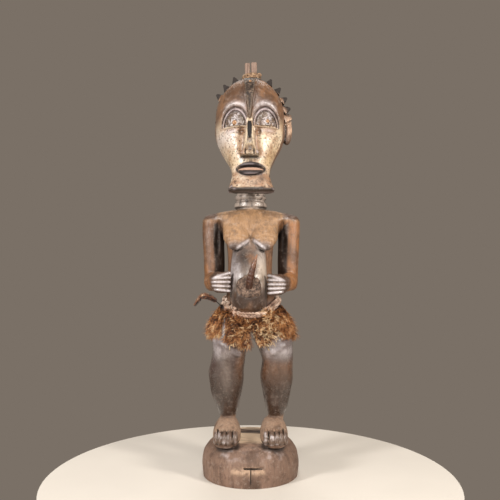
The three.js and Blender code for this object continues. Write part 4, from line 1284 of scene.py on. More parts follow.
def carve_marks(s, crust):
    """How far the tool and time have moved each point of the carving, in mm."""
    facets = 0.45 * patches(s.points, size=21, seed=11) + 0.22 * patches(s.points, size=9, seed=12)
    legs = band(s.z, 112, 130, 300, 330)
    facets += 0.7 * patches(s.points, size=27, seed=13) * legs
    calm = smoothstep(1.0, 0.4, s.groove) * (1 - 0.8 * s.hair())
    lumps = 0.75 * patches(s.points, size=3.4, seed=14, layers=2) * crust
    ragged = 0.9 * patches(s.points, size=5, seed=15, layers=2) * hump(s.z, 553, 5) * s.face()
    slot = hump(s.z, 33, 5) * smoothstep(30, 22, np.abs(s.x - 4)) * (s.y < -60)
    chips = 1.5 * patches(s.points, size=5, seed=16, layers=2) * slot
    settle = smoothstep(1, 4, s.z)
    return (facets * calm + lumps + ragged - np.abs(chips)) * settle


# Node trees

class Nodes:
    """Short ways to add and join the nodes of one tree."""

    def __init__(self, tree):
        self.tree = tree

    def add(self, kind, inputs=None, **settings):
        node = self.tree.nodes.new(kind)
        for name, value in settings.items():
            setattr(node, name, value)
        for name, value in (inputs or {}).items():
            self.feed(node.inputs[name], value)
        return node

    def out(self, kind, inputs=None, **settings):
        """The first output of a new node."""
        return self.add(kind, inputs, **settings).outputs[0]

    def feed(self, socket, value):
        if isinstance(value, bpy.types.NodeSocket):
            self.tree.links.new(value, socket)
        else:
            socket.default_value = value

    def math(self, operation, a, b=0.0):
        return self.out("ShaderNodeMath", {0: a, 1: b}, operation=operation)

    def total(self, *parts):
        """Sum of several values, each times its own weight."""
        whole = 0.0
        for value, weight in parts:
            whole = self.math("ADD", whole, self.math("MULTIPLY", value, weight))
        return whole

    def vector(self, operation, a, b=(0, 0, 0)):
        return self.out("ShaderNodeVectorMath", {0: a, 1: b}, operation=operation)

    def scaled(self, vector, amount):
        inputs = {0: vector, "Scale": amount}
        return self.out("ShaderNodeVectorMath", inputs, operation="SCALE")

    def random(self, low, high, seed):
        inputs = {2: low, 3: high, "Seed": seed}
        return self.add("FunctionNodeRandomValue", inputs, data_type="FLOAT").outputs[1]

    def place(self, scale=(1, 1, 1)):
        spot = self.add("ShaderNodeTexCoord").outputs["Object"]
        return self.out("ShaderNodeMapping", {"Vector": spot, "Scale": scale})

    def noise(self, scale, stretch=(1, 1, 1), detail=4.0, rough=0.6):
        inputs = {"Vector": self.place(stretch), "Scale": scale, "Detail": detail, "Roughness": rough}
        return self.out("ShaderNodeTexNoise", inputs)

    def spread(self, value, low, high, to_low=0.0, to_high=1.0):
        inputs = {"Value": value, "From Min": low, "From Max": high}
        inputs.update({"To Min": to_low, "To Max": to_high})
        return self.out("ShaderNodeMapRange", inputs)

    def mark(self, pattern, low, high, most, where):
        """How strong a mark is: up to most where its pattern is high, and only where it lies."""
        return self.math("MULTIPLY", self.spread(pattern, low, high, 0, most), where)

    def mixed(self, share, a, b, blend="MIX"):
        node = self.add("ShaderNodeMix", data_type="RGBA", blend_type=blend)
        self.feed(node.inputs[0], share)
        self.feed(node.inputs[6], a)
        self.feed(node.inputs[7], b)
        return node.outputs[2]

    def tinted(self, colour, share, tone):
        """A colour with a plain tone laid over it."""
        return self.mixed(share, colour, full(tone))

    def number(self, name):
        return self.add("ShaderNodeAttribute", attribute_name=name).outputs["Fac"]

    def colour(self, name):
        return self.add("ShaderNodeAttribute", attribute_name=name).outputs["Color"]

    def ramp(self, value, colours):
        node = self.add("ShaderNodeValToRGB", {"Fac": value})
        stops = node.color_ramp.elements
        while len(stops) < len(colours):
            stops.new(0.5)
        for i, (place, colour) in enumerate(colours):
            stops[i].position = place
            stops[i].color = full(colour)
        return node.outputs[0]


def full(colour):
    return (*colour, 1.0)


def new_material(name, roughness=0.5, metallic=0.0):
    """A material, its node helper and its shader."""
    material = bpy.data.materials.new(name)
    material.use_nodes = True
    shader = material.node_tree.nodes["Principled BSDF"]
    shader.inputs["Roughness"].default_value = roughness
    shader.inputs["Metallic"].default_value = metallic
    return material, Nodes(material.node_tree), shader


def finish_shader(n, shader, colour, height, depth, roughness=None):
    """Gives a shader its colour, a bump of a depth in metres and perhaps a varied roughness."""
    n.feed(shader.inputs["Base Color"], colour)
    if roughness is not None:
        n.feed(shader.inputs["Roughness"], roughness)
    bump = {"Height": height, "Distance": depth, "Strength": 1.0}
    n.feed(shader.inputs["Normal"], n.out("ShaderNodeBump", bump))


def dress(piece, material):
    piece.data.materials.clear()
    piece.data.materials.append(material)
    return piece


def wood_material(look):
    """Carved wood with grain and patina, soot in its hollows and grooves that is both grime and painted
    shade, and pale crests that are both rubbed wood and painted highlight.
    """
    material, n, shader = new_material("Carved wood")
    grain = n.noise(260, (1, 1, 0.11), 5, 0.65)
    streaks = n.noise(85, (1, 1, 0.2), 6, 0.65)
    patina = n.noise(42, detail=8, rough=0.72)
    blotch = n.noise(120, detail=6, rough=0.7)
    speck = n.noise(290, detail=3, rough=0.55)
    fine = n.noise(420, detail=4, rough=0.7)
    pigment = n.number("pigment")
    crust = n.number("crust")
    polish = n.number("polish")
    varied = n.math("SUBTRACT", 1.0, n.number("plain"))
    bare = n.math("MULTIPLY", n.math("SUBTRACT", 1.0, pigment), varied)
    chipped = n.mark(speck, 0.57, 0.64, 1, pigment)
    hollow = n.mark(n.number("hollow"), 0.28, 0.85, 0.82, n.spread(pigment, 0, 1, 1, 0.6))
    ground = n.colour("ground")
    lively = n.ramp(grain, [(0.3, (0.62,) * 3), (0.7, (1.3,) * 3)])
    lively = n.mixed(1.0, ground, lively, "MULTIPLY")
    colour = n.mixed(n.math("MULTIPLY", bare, 0.6), ground, lively)
    marks = [
        (n.mark(patina, 0.5, 0.64, 0.62, bare), look.dark_brown),
        (n.mark(streaks, 0.54, 0.7, 0.6, bare), look.dark_brown),
        (n.mark(blotch, 0.53, 0.68, 0.28, bare), look.ash),
        (n.mark(patina, 0.47, 0.64, 0.7, pigment), look.leather),
        (n.mark(blotch, 0.5, 0.64, 0.5, pigment), look.leather),
        (n.math("MULTIPLY", chipped, 0.85), look.dark_brown),
        (n.mark(speck, 0.44, 0.58, 0.85, crust), look.dark_brown),
        (n.mark(fine, 0.56, 0.64, 0.65, crust), look.silver),
        # Pale crests: rubbed wood and painted highlight.
        (n.mark(n.number("ridge"), 0.35, 0.85, 0.5, n.spread(fine, 0.35, 0.6)), look.pale_wood),
        # Soot in the hollows and grooves: grime and painted shade.
        (hollow, look.soot_and_shade),
        (n.spread(n.number("groove"), 0.3, 0.75, 0, 0.88), look.soot_and_shade),
    ]
    for share, tone in marks:
        colour = n.tinted(colour, share, tone)
    matte = n.total(
        (n.spread(polish, 0, 1, 0.68, 0.24), 1),
        (n.spread(patina, 0.35, 0.65, -0.06, 0.12), 1),
        (n.spread(blotch, 0.35, 0.65, -0.04, 0.1), 1),
    )
    height = n.total((grain, 0.3), (fine, 0.55), (chipped, -0.6), (blotch, 0.9), (speck, 0.5))
    finish_shader(n, shader, colour, height, 0.0008, matte)
    coat = n.mark(polish, 0.15, 1, 0.8, n.spread(blotch, 0.42, 0.6, 1, 0.25))
    n.feed(shader.inputs["Coat Weight"], coat)
    shader.inputs["Coat Roughness"].default_value = 0.2
    soft = n.add("ShaderNodeBump", {"Height": n.math("ADD", blotch, patina), "Distance": 0.0006})
    n.feed(shader.inputs["Coat Normal"], soft.outputs[0])
    return material


def plain_wood_material(look):
    """Pale, dry end of a wooden peg with upright grain."""
    material, n, shader = new_material("Pale peg wood", roughness=0.75)
    grain = n.noise(420, (1, 1, 0.06), 5)
    stain = n.noise(120, detail=4)
    colour = n.ramp(grain, [(0.3, look.peg_dark), (0.65, look.peg)])
    colour = n.tinted(colour, n.spread(stain, 0.5, 0.7, 0, 0.6), look.peg_dark)
    finish_shader(n, shader, colour, grain, 0.0006)
    return material


def paste_material(name, dark, middle, pale):
    """Hard crumbly paste with cracks and pale crumbs."""
    material, n, shader = new_material(name, roughness=0.82)
    lumps = n.noise(160, detail=6, rough=0.7)
    crumbs = n.noise(520, detail=3, rough=0.6)
    cell = {"Vector": n.place(), "Scale": 120.0}
    gap = n.out("ShaderNodeTexVoronoi", cell, feature="DISTANCE_TO_EDGE")
    colour = n.ramp(lumps, [(0.36, dark), (0.5, middle), (0.68, pale)])
    colour = n.tinted(colour, n.spread(crumbs, 0.58, 0.68, 0, 0.7), pale)
    colour = n.tinted(colour, n.spread(gap, 0.0, 0.07, 0.75, 0), dark)
    height = n.total((lumps, 0.8), (crumbs, 0.4), (n.spread(gap, 0.0, 0.08, 0, 0.4), 1))
    finish_shader(n, shader, colour, height, 0.0016)
    return material


def iron_material(name, dark, middle, pale):
    """Old dark sheet iron with pale rubbed edges and patches."""
    material, n, shader = new_material(name, roughness=0.5, metallic=0.1)
    shader.inputs["Specular IOR Level"].default_value = 0.3
    patina = n.noise(130, detail=6, rough=0.7)
    fine = n.noise(600, detail=3)
    crust = n.noise(260, detail=4, rough=0.7)
    colour = n.ramp(patina, [(0.35, dark), (0.52, middle), (0.72, pale)])
    colour = n.tinted(colour, n.mark(fine, 0.35, 0.6, 0.85, n.number("edge")), pale)
    colour = n.tinted(colour, n.spread(crust, 0.56, 0.66, 0, 0.7), pale)
    height = n.total((patina, 1), (fine, 0.5))
    finish_shader(n, shader, colour, height, 0.0006, n.spread(patina, 0.3, 0.7, 0.4, 0.68))
    return material


def copper_material(look):
    """Copper tack heads, bright on top and brown round the rim."""
    material, n, shader = new_material("Copper tack", roughness=0.35, metallic=0.25)
    patina = n.noise(420, detail=5, rough=0.7)
    colour = n.ramp(patina, [(0.35, look.copper_dark), (0.6, look.copper)])
    colour = n.tinted(colour, n.spread(n.number("edge"), 0.4, 1, 0, 0.7), look.copper_dark)
    finish_shader(n, shader, colour, patina, 0.0005, n.spread(patina, 0.3, 0.7, 0.3, 0.52))
    return material


def horn_material(look):
    """Dark horn with fine lines along it and a paler tip."""
    material, n, shader = new_material("Dark horn", roughness=0.36)
    lines = n.noise(500, (1, 1, 0.12), 4)
    patch = n.noise(90, detail=5)
    tones = [(0.0, look.horn_dark), (0.7, look.horn), (1.0, look.horn_pale)]
    colour = n.ramp(n.number("along"), tones)
    colour = n.tinted(colour, n.spread(patch, 0.5, 0.7, 0, 0.7), look.horn_dark)
    colour = n.tinted(colour, n.spread(lines, 0.55, 0.7, 0, 0.4), look.horn_pale)
    finish_shader(n, shader, colour, lines, 0.0004, n.spread(patch, 0.3, 0.7, 0.28, 0.5))
    return material


def cord_material(look):
    """Dry twisted plant fibre with dusty hollows."""
    material, n, shader = new_material("Plant fibre cord", roughness=0.86)
    fibre = n.noise(900, (1, 1, 1), 3, 0.7)
    dust = n.noise(60, detail=5)
    colour = n.ramp(dust, [(0.35, look.cord_dark), (0.5, look.cord), (0.68, look.cord_pale)])
    colour = n.tinted(colour, n.spread(fibre, 0.5, 0.7, 0, 0.55), look.cord_dark)
    finish_shader(n, shader, colour, fibre, 0.0006)
    return material


HAIR_TONES_AT = (0.08, 0.34, 0.62, 0.86, 1.0)


def hair_material(name, colours, roughness):
    """Fur or feather, darker at the root and paler at the tip of each lock."""
    material, n, shader = new_material(name, roughness)
    tone = n.total(
        (n.number("tint"), 1),
        (n.number("along"), 0.22),
        (n.spread(n.noise(60, detail=3), 0.35, 0.65, -0.42, 0.2), 1),
        (n.spread(n.noise(190, detail=2), 0.35, 0.65, -0.25, 0.15), 1),
    )
    colour = n.ramp(tone, list(zip(HAIR_TONES_AT, colours)))
    finish_shader(n, shader, colour, n.noise(900, detail=2), 0.0003)
    return material


def stage_material(name, colour):
    """Plain matte floor with a very slight cloudiness."""
    material, n, shader = new_material(name, roughness=0.8)
    darker = tuple(part * 0.93 for part in colour)
    cloud = n.noise(3, detail=3)
    n.feed(shader.inputs["Base Color"], n.ramp(cloud, [(0.3, darker), (0.7, colour)]))
    return material


# Small meshes in mm


def split(quads):
    return np.vstack([quads[:, [0, 1, 2]], quads[:, [0, 2, 3]]])


def tube_skin(path, radii, sides):
    """Points and triangles of a tube with closed ends along a path."""
    path = np.asarray(path, float)
    along = unit(np.gradient(path, axis=0))
    side = np.cross(along[0], (0.31, 0.22, 0.92))
    angle = 2 * math.pi * np.arange(sides) / sides
    rings = []
    for spot, way, radius in zip(path, along, radii):
        side = unit(side - way * (side @ way))
        up = np.cross(way, side)
        ring = np.cos(angle)[:, None] * side + np.sin(angle)[:, None] * up
        rings.append(spot + radius * ring)
    points = np.vstack([*rings, path[:1], path[-1:]])
    k = np.arange(sides)
    following = (k + 1) % sides
    faces = []
    for ring in range(len(path) - 1):
        low = ring * sides
        high = low + sides
        quads = np.stack([low + k, low + following, high + following, high + k], axis=1)
        faces.append(split(quads))
    start = len(path) * sides
    last = start - sides
    faces.append(np.stack([np.full(sides, start), following, k], axis=1))
    faces.append(np.stack([np.full(sides, start + 1), last + k, last + following], axis=1))
    return points, np.vstack(faces)


def joined_skins(skins):
    """Points and triangles of several skins as one."""
    start = 0
    faces = []
    for points, skin_faces in skins:
        faces.append(skin_faces + start)
        start += len(points)
    return np.vstack([points for points, _ in skins]), np.vstack(faces)


def plate_skin(front, back):
    """Points and four-sided faces of a plate between two grids of points."""
    rows, columns = front.shape[:2]
    count = rows * columns
    index = np.arange(count).reshape(rows, columns)
    ring = [index[:-1, :-1], index[:-1, 1:], index[1:, 1:], index[1:, :-1]]
    face = np.stack([spot.ravel() for spot in ring], axis=1)
    rim = np.concatenate([index[0, :-1], index[:-1, -1], index[-1, :0:-1], index[:0:-1, 0]])
    following = np.roll(rim, -1)
    wall = np.stack([following, rim, rim + count, following + count], axis=1)
    faces = np.vstack([face, face[:, ::-1] + count, wall])
    return np.vstack([front.reshape(-1, 3), back.reshape(-1, 3)]), faces


def lathe_skin(profile, sides):
    """A skin turned round Z from rows of radius and height, closed at both ends."""
    path = np.array([(0, 0, height) for _, height in profile])
    angle = 2 * math.pi * np.arange(sides) / sides
    ring = np.stack([np.cos(angle), np.sin(angle), np.zeros(sides)], axis=1)
    rings = [spot + radius * ring for spot, (radius, _) in zip(path, profile)]
    even_path = [(0, 0, number) for number in range(len(profile))]
    _, faces = tube_skin(even_path, np.ones(len(profile)), sides)
    return np.vstack([*rings, path[:1], path[-1:]]), faces


def net_of(name, carving, low, high, step, triangles):
    """A piece from a small carving of its own."""
    points, faces = surface_of(carving.distance, low, high, step)
    return thinned(mesh_of(name, points, faces), triangles)


def weathered(piece, amount, size, seed, layers=2):
    """Moves the points of a piece in or out by smooth random amounts in mm."""
    points, normals = points_and_normals(piece)
    move = amount * patches(points, size, seed, layers)
    move_points(piece, points + normals * move[:, None])
    return piece


# Pieces

FIGURE = figure_carving()
CARVING_LOW = (-110.0, -112.0, -3.0)
CARVING_HIGH = (112.0, 112.0, 806.0)


def make_carving(look):
    step = look.detail / MM
    points, faces = surface_of(FIGURE.distance, CARVING_LOW, CARVING_HIGH, step)
    points[:, 2] = np.maximum(points[:, 2], 0.0)
    piece = thinned(mesh_of("carved_figure", points, faces), look.triangles)
    points, normals = points_and_normals(piece)
    surface = Surface(points, normals, FIGURE)
    colours, numbers = wood_colours(surface, look)
    set_colour(piece, "ground", colours)
    for name, values in numbers.items():
        set_number(piece, name, values)
    move = carve_marks(surface, numbers["crust"])
    move_points(piece, points + normals * move[:, None])
    dress(piece, wood_material(look))
    finished(piece, "figure")


CROWN_X = 2.0
CROWN_Y = -8.0
COLLAR_TOP = 791.0
TOP_LEVEL = 817.0
COLLAR_PROFILE = [
    (774, CROWN_X, CROWN_Y, 16.5, 16.5, 16.5, 2),
    (781, CROWN_X, CROWN_Y, 18, 18, 18, 2),
    (787, CROWN_X, CROWN_Y, 19.2, 19.2, 19.2, 2),
    (COLLAR_TOP, CROWN_X, CROWN_Y, 17.5, 17.5, 17.5, 2),
]
STUB_PLACES = {LEFT: -8.2, RIGHT: 5.0}
STUB_HALVES = {LEFT: 5.2, RIGHT: 6.0}
STUB_TOPS = {LEFT: TOP_LEVEL - 1.5, RIGHT: TOP_LEVEL}


def make_crown(look):
    collar = Carving().join(1.0, Upright(COLLAR_PROFILE))
    collar.join(2.0, Ball((CROWN_X + 15, CROWN_Y - 9, 789), (4.5, 4.5, 3.6)))
    collar.cut(1.0, Ball((CROWN_X - 9.5, CROWN_Y - 18, 786), (2.6, 4, 2)))
    low = (CROWN_X - 26, CROWN_Y - 26, 770)
    high = (CROWN_X + 26, CROWN_Y + 26, 798)
    piece = net_of("crown_ring_of_paste", collar, low, high, step=0.8, triangles=16000)
    weathered(piece, 0.8, size=6, seed=21, layers=3)
    dress(piece, paste_material("Head paste", look.paste_dark, look.paste, look.paste_pale))
    finished(piece, "crown_collar")
    wood = plain_wood_material(look)
    for hand, side in SIDE_NAMES.items():
        half = STUB_HALVES[hand]
        top = STUB_TOPS[hand]
        x = CROWN_X + STUB_PLACES[hand]
        rows = [
            (COLLAR_TOP - 2, x, CROWN_Y, half - 0.3, 5.5, 5.5, 5),
            (top - 1.6, x, CROWN_Y, half, 5.8, 5.8, 5),
            (top - 0.4, x, CROWN_Y, half - 0.8, 5, 5, 4),
        ]
        stub = Carving().join(0.8, Upright(rows))
        low = (x - 10, CROWN_Y - 10, COLLAR_TOP - 6)
        high = (x + 10, CROWN_Y + 10, top + 4)
        peg = net_of("crown_peg_" + side, stub, low, high, step=0.6, triangles=8000)
        points, normals = points_and_normals(peg)
        cracks = patches(points * (1, 1, 0.12), size=2.6, seed=31 + hand, layers=2)
        move_points(peg, points + normals * (0.35 * np.minimum(cracks, 0.2))[:, None])
        finished(dress(peg, wood), "crown_stub_" + side)


NOSE_STRIP_LEVELS = (648.0, 681.0)
NOSE_STRIP_HALF = 3.8
STRIP_ROWS = 70
STRIP_COLUMNS = 25
PUPIL_PLACE = {LEFT: (-29.5, 680.5), RIGHT: (30.5, 682.5)}
PUPIL_RADIUS = 5.2
TACK_LEVEL = 764.0
TACK_RADIUS = 2.8
TACK_SIDES = 30


def laid_on(form, x, z, height):
    """Points at a height over the front of a form, for grids of places in mm."""
    y = form.front_of(x.ravel(), z.ravel())
    points = np.stack([x.ravel(), y, z.ravel()], axis=1)
    slope, steep = slope_of(form.distance, points)
    points = points + slope / steep[:, None] * height.ravel()[:, None]
    return points.reshape(*x.shape, 3)


def strip_piece(name, form, levels, half_at, ridges, thickness):
    """A thin metal strip laid on a form, with raised lines where ridges says."""
    share = np.linspace(-1, 1, STRIP_COLUMNS)
    z = np.linspace(*levels, STRIP_ROWS)
    half = half_at(z)[:, None]
    x = NOSE_MIDDLE + share[None, :] * half
    z = np.broadcast_to(z[:, None], x.shape)
    bend = ridges(share[None, :] * half, half, z)
    edge_drop = smoothstep(0.9, 1.0, np.abs(share))[None, :] * 0.5
    front = laid_on(form, x, z, thickness + bend - edge_drop)
    back = laid_on(form, x, z, np.full(x.shape, -0.8))
    points, faces = plate_skin(front, back)
    piece = mesh_of(name, points, faces)
    edge = np.concatenate([np.clip(bend, 0, 1).ravel(), np.ones(x.size)])
    set_number(piece, "edge", edge)
    return weathered(piece, 0.12, size=5, seed=41)


def tack_piece(name, radius, height, place):
    """A domed tack head that looks to the front."""
    rows = [(0.4, -2.0), (radius * 0.97, -2.0), (radius, 0)]
    for share in np.linspace(0.12, 0.97, 9):
        angle = share * math.pi / 2
        rows.append((radius * math.cos(angle), height * math.sin(angle)))
    points, faces = lathe_skin(rows, TACK_SIDES)
    edge = np.hypot(points[:, 0], points[:, 1]) / radius
    x, y, z = place
    turned = np.stack([points[:, 0] + x, -points[:, 2] + y, points[:, 1] + z], axis=1)
    piece = mesh_of(name, turned, faces)
    set_number(piece, "edge", edge)
    return weathered(piece, 0.16, size=3, seed=43)


def make_head_metal(look):
    iron = iron_material("Old dark iron", look.iron_dark, look.iron, look.iron_pale)
    black_iron = iron_material("Blackened iron", look.iron_black, look.iron_black, look.iron_dark)
    copper = copper_material(look)

    def forehead_lines(across, half, z):
        rims = 0.8 * hump(np.abs(across), half - 0.9, 0.8)
        lower = smoothstep(735, 725, z)
        inner = 0.6 * hump(np.abs(across), half * 0.45, 0.7) * lower
        return rims + inner

    def nose_lines(across, half, z):
        return 0.6 * hump(np.abs(across), half - 0.8, 0.8)

    def nose_half(z):
        share = (z - NOSE_STRIP_LEVELS[0]) / (NOSE_STRIP_LEVELS[1] - NOSE_STRIP_LEVELS[0])
        return NOSE_STRIP_HALF - 1.8 * hump(share, 0, 0.22) - 1.0 * hump(share, 1, 0.12)

    thickness = look.strip_thickness / MM
    strip = strip_piece(
        "metal_strip_on_forehead", SKULL, (STRIP_TIP, STRIP_TOP), strip_half, forehead_lines, thickness
    )
    finished(dress(strip, iron), "forehead_strip")
    bridge = strip_piece(
        "metal_strip_on_nose", NOSE, NOSE_STRIP_LEVELS, nose_half, nose_lines, thickness
    )
    finished(dress(bridge, black_iron), "nose_strip")
    y = SKULL.front_of(NOSE_MIDDLE, TACK_LEVEL)[0] - 1
    tack = tack_piece("tack_on_forehead", TACK_RADIUS, 2.6, (NOSE_MIDDLE + 1, y, TACK_LEVEL))
    finished(dress(tack, copper), "forehead_tack")
    for hand, side in SIDE_NAMES.items():
        x, z = PUPIL_PLACE[hand]
        y = SKULL.front_of(x, z)[0] - 2.6
        pupil = tack_piece("tack_in_eye_" + side, PUPIL_RADIUS, 3.4, (x, y, z))
        finished(dress(pupil, copper), "pupil_" + side)


HORN_PATH = [(-3, -80, 362), (-3, -84, 366), (-1, -94, 384), (5, -100, 408), (12, -101, 431)]
HORN_RADII = [6.2, 6.4, 6.3, 4.8, 1.1]
HORN_STEPS = 90
HORN_SIDES = 24


def make_belly(look):
    share = np.linspace(0, 1, HORN_STEPS)
    rings = np.sin(share * 2 * math.pi * look.horn_rings)
    radii = smooth_radii(HORN_RADII, HORN_STEPS)
    radii = radii * (1 + 0.045 * rings * smoothstep(1.0, 0.75, share)) + 0.05
    points, faces = tube_skin(smooth_path(HORN_PATH, HORN_STEPS), radii, HORN_SIDES)
    horn = mesh_of("horn_in_belly", points, faces)
    set_number(horn, "along", np.concatenate([np.repeat(share, HORN_SIDES), [0, 1]]))
    weathered(horn, 0.18, size=5, seed=51)
    finished(dress(horn, horn_material(look)), "belly_horn")
    charge = Carving()
    charge.join(3.0, Ball((-3, -82, 371), (23, 9, 23)), Ball((-4, -86, 360), (13, 7, 9)))
    charge.join(3.0, Ball((-16, -84, 378), (8, 6, 9)), Ball((11, -84, 366), (9, 6, 12)))
    low = (-34, -102, 340)
    high = (28, -66, 402)
    paste = net_of("paste_on_belly", charge, low, high, step=0.85, triangles=40000)
    weathered(paste, 1.1, size=8, seed=53, layers=3)
    weathered(paste, 0.5, size=2.4, seed=54, layers=2)
    look_of_paste = paste_material("Belly paste", look.charge_dark, look.charge, look.charge_pale)
    finished(dress(paste, look_of_paste), "belly_charge")


CORD_ROUTE = [
    (0, 50, 354),
    (-44, 36, 352),
    (-51, 0, 346),
    (-46, -28, 337),
    (-38, -44, 329),
    (-24, -58, 322),
    (-4, -64, 319),
    (16, -62, 320),
    (33, -51, 324),
    (44, -34, 333),
    (50, -4, 345),
    (44, 36, 352),
]
CORD_STEPS = 12
CORD_LIFTS = (3.1, -2.9)
CORD_CLEARANCE = 3.2
DOUBLED_STRANDS = ((8.6, 3.2), (3.4, 7.4))


def pushed_out(points, clearance):
    """Points moved sideways until they lie at least so far outside the carving."""
    points = np.array(points, float)
    for _ in range(4):
        slope, _ = slope_of(FIGURE.distance, points, 1.5)
        slope[:, 2] = 0
        slope /= np.maximum(np.linalg.norm(slope, axis=1), 1e-3)[:, None]
        short = np.clip(clearance - FIGURE.distance(points), 0, 6)
        points = points + slope * short[:, None]
    return points


def cord_loop(lift, clearance):
    """The closed way of the cord, lifted over its route and clear of the carving."""
    route = CORD_ROUTE[-2:] + CORD_ROUTE + CORD_ROUTE[:2]
    path = smooth_path(route, (len(route) - 1) * CORD_STEPS + 1)
    start = 2 * CORD_STEPS
    path = pushed_out(path[start:start + len(CORD_ROUTE) * CORD_STEPS], clearance)
    for _ in range(6):
        path = (np.roll(path, 1, axis=0) + path * 2 + np.roll(path, -1, axis=0)) / 4
    return path + (0, 0, lift)


def lines_object(name, lines):
    """An object of bare edges along lines; each line says whether it closes."""
    points = []
    edges = []
    for line, closes in lines:
        start = len(points)
        count = len(line)
        points.extend(line)
        edges += [(start + i, start + i + 1) for i in range(count - 1)]
        if closes:
            edges.append((start + count - 1, start))
    mesh = bpy.data.meshes.new(name)
    mesh.from_pydata([tuple(np.array(p) * MM) for p in points], edges, [])
    piece = bpy.data.objects.new(name, mesh)
    bpy.context.collection.objects.link(piece)
    return piece


def new_tree(name, inputs):
    """An empty geometry tree with named inputs, its node helper and its group input."""
    tree = bpy.data.node_groups.new(name, "GeometryNodeTree")
    tree.interface.new_socket("Geometry", in_out="INPUT", socket_type="NodeSocketGeometry")
    for label, kind in inputs.items():
        tree.interface.new_socket(label, in_out="INPUT", socket_type="NodeSocket" + kind)
    tree.interface.new_socket("Geometry", in_out="OUTPUT", socket_type="NodeSocketGeometry")
    n = Nodes(tree)
    return tree, n, n.add("NodeGroupInput").outputs


def finish_tree(n, geometry, material):
    whole = n.out("GeometryNodeRealizeInstances", {"Geometry": geometry})
    dressed = n.out("GeometryNodeSetMaterial", {"Geometry": whole, "Material": material})
    n.add("NodeGroupOutput", {"Geometry": dressed})


def run_tree(piece, tree, values):
    """Runs a geometry tree on a piece with named input values and keeps the plain mesh."""
    modifier = piece.modifiers.new(tree.name, "NODES")
    modifier.node_group = tree
    sockets = {
        item.name: item.identifier
        for item in tree.interface.items_tree
        if item.item_type == "SOCKET" and item.in_out == "INPUT"
    }
    for label, value in values.items():
        modifier[sockets[label]] = value
    with_modifiers_applied(piece)
    return piece


CORD_STEP_LENGTH = 0.0014
STRAND_SIDES = 7


def cord_tree(material):
    """Strands laid round one another along every line of the piece."""
    inputs = {"Strand radius": "Float", "Lay radius": "Float", "Turns per metre": "Float"}
    tree, n, given = new_tree("Twisted cord", inputs)
    lines = n.out("GeometryNodeMeshToCurve", {0: given["Geometry"]})
    even = {"Curve": lines, "Length": CORD_STEP_LENGTH}
    even = n.out("GeometryNodeResampleCurve", even, mode="LENGTH")
    upright = n.out("GeometryNodeSetCurveNormal", {"Curve": even}, mode="Z_UP")
    length = n.add("GeometryNodeSplineParameter").outputs["Length"]
    turns = n.math("MULTIPLY", length, given["Turns per metre"])
    normal = n.out("GeometryNodeInputNormal")
    tangent = n.out("GeometryNodeInputTangent")
    side = n.vector("CROSS_PRODUCT", tangent, normal)
    circle = {"Radius": given["Strand radius"], "Resolution": STRAND_SIDES}
    circle = n.out("GeometryNodeCurvePrimitiveCircle", circle)
    strands = n.add("GeometryNodeJoinGeometry")
    for strand in range(2):
        angle = n.math("MULTIPLY", n.math("ADD", turns, strand / 2), 2 * math.pi)
        offsets = []
        for work, way in (("COSINE", normal), ("SINE", side)):
            amount = n.math("MULTIPLY", n.math(work, angle), given["Lay radius"])
            offsets.append(n.scaled(way, amount))
        offset = n.vector("ADD", *offsets)
        strand_line = n.out("GeometryNodeSetPosition", {"Geometry": upright, "Offset": offset})
        skin = {"Curve": strand_line, "Profile Curve": circle, "Fill Caps": True}
        skin = n.out("GeometryNodeCurveToMesh", skin)
        n.tree.links.new(skin, strands.inputs[0])
    finish_tree(n, strands.outputs[0], material)
    return tree


KNOTS = [(-44.0, -38.0, 336.0), (-35.0, -50.0, 328.5), (-23.0, -61.0, 323.0)]
KNOT_REACH = 6.0
LOOSE_ENDS = 4


def knot_lines():
    """Small knots in the cord at its left front, with their loose ends."""
    turn = np.linspace(0, 2 * math.pi, 25)[:-1]
    lines = []
    rng = np.random.default_rng(61)
    for knot in np.array(KNOTS):
        for tilt, size in ((0.45, 1.0), (-0.6, 0.85)):
            ring = np.stack([np.sin(turn) * math.sin(tilt), -np.cos(turn), np.sin(turn)], axis=1)
            lines.append((knot + ring * KNOT_REACH * size, True))
        for end in range(LOOSE_ENDS):
            way = np.array([rng.uniform(-1, 0.8), rng.uniform(-0.9, -0.2), rng.uniform(-0.6, 1.0)])
            way = unit(way)
            length = rng.uniform(8, 17)
            sag = np.array([0, 0, -4.0])
            share = np.linspace(0, 1, 9)[:, None]
            line = knot + way * (2 + share * length) + sag * share**2
            line = line + 0.8 * np.sin(share * 7 + end) * np.array([0.4, 0.2, 0.8])
            lines.append((pushed_out(line, 1.2), False))
    return lines


def doubled_part(lift, clearance):
    """A strand laid beside the cord, round its right front."""
    path = cord_loop(lift, clearance)
    over = path[(path[:, 0] > 8) & (path[:, 1] < 10)]
    waver = 1.3 * np.sin(np.linspace(lift, lift + 9, len(over)))
    return over + np.stack([0 * waver, 0 * waver, waver], axis=1)


def make_cord(look):
    lines = [(cord_loop(lift, CORD_CLEARANCE), True) for lift in CORD_LIFTS]
    lines += [(doubled_part(*strand), False) for strand in DOUBLED_STRANDS]
    lines += knot_lines()
    piece = lines_object("twisted_waist_cord", lines)
    tree = cord_tree(cord_material(look))
    values = {
        "Strand radius": look.strand_radius,
        "Lay radius": look.lay_radius,
        "Turns per metre": look.turns_per_metre,
    }
    run_tree(piece, tree, values)
    weathered(piece, 0.25, size=4, seed=63)
    piece.data.shade_smooth()
    finished(piece, "waist_cord")


# Fur and feathers

HAIRS_IN_LOCK = 3


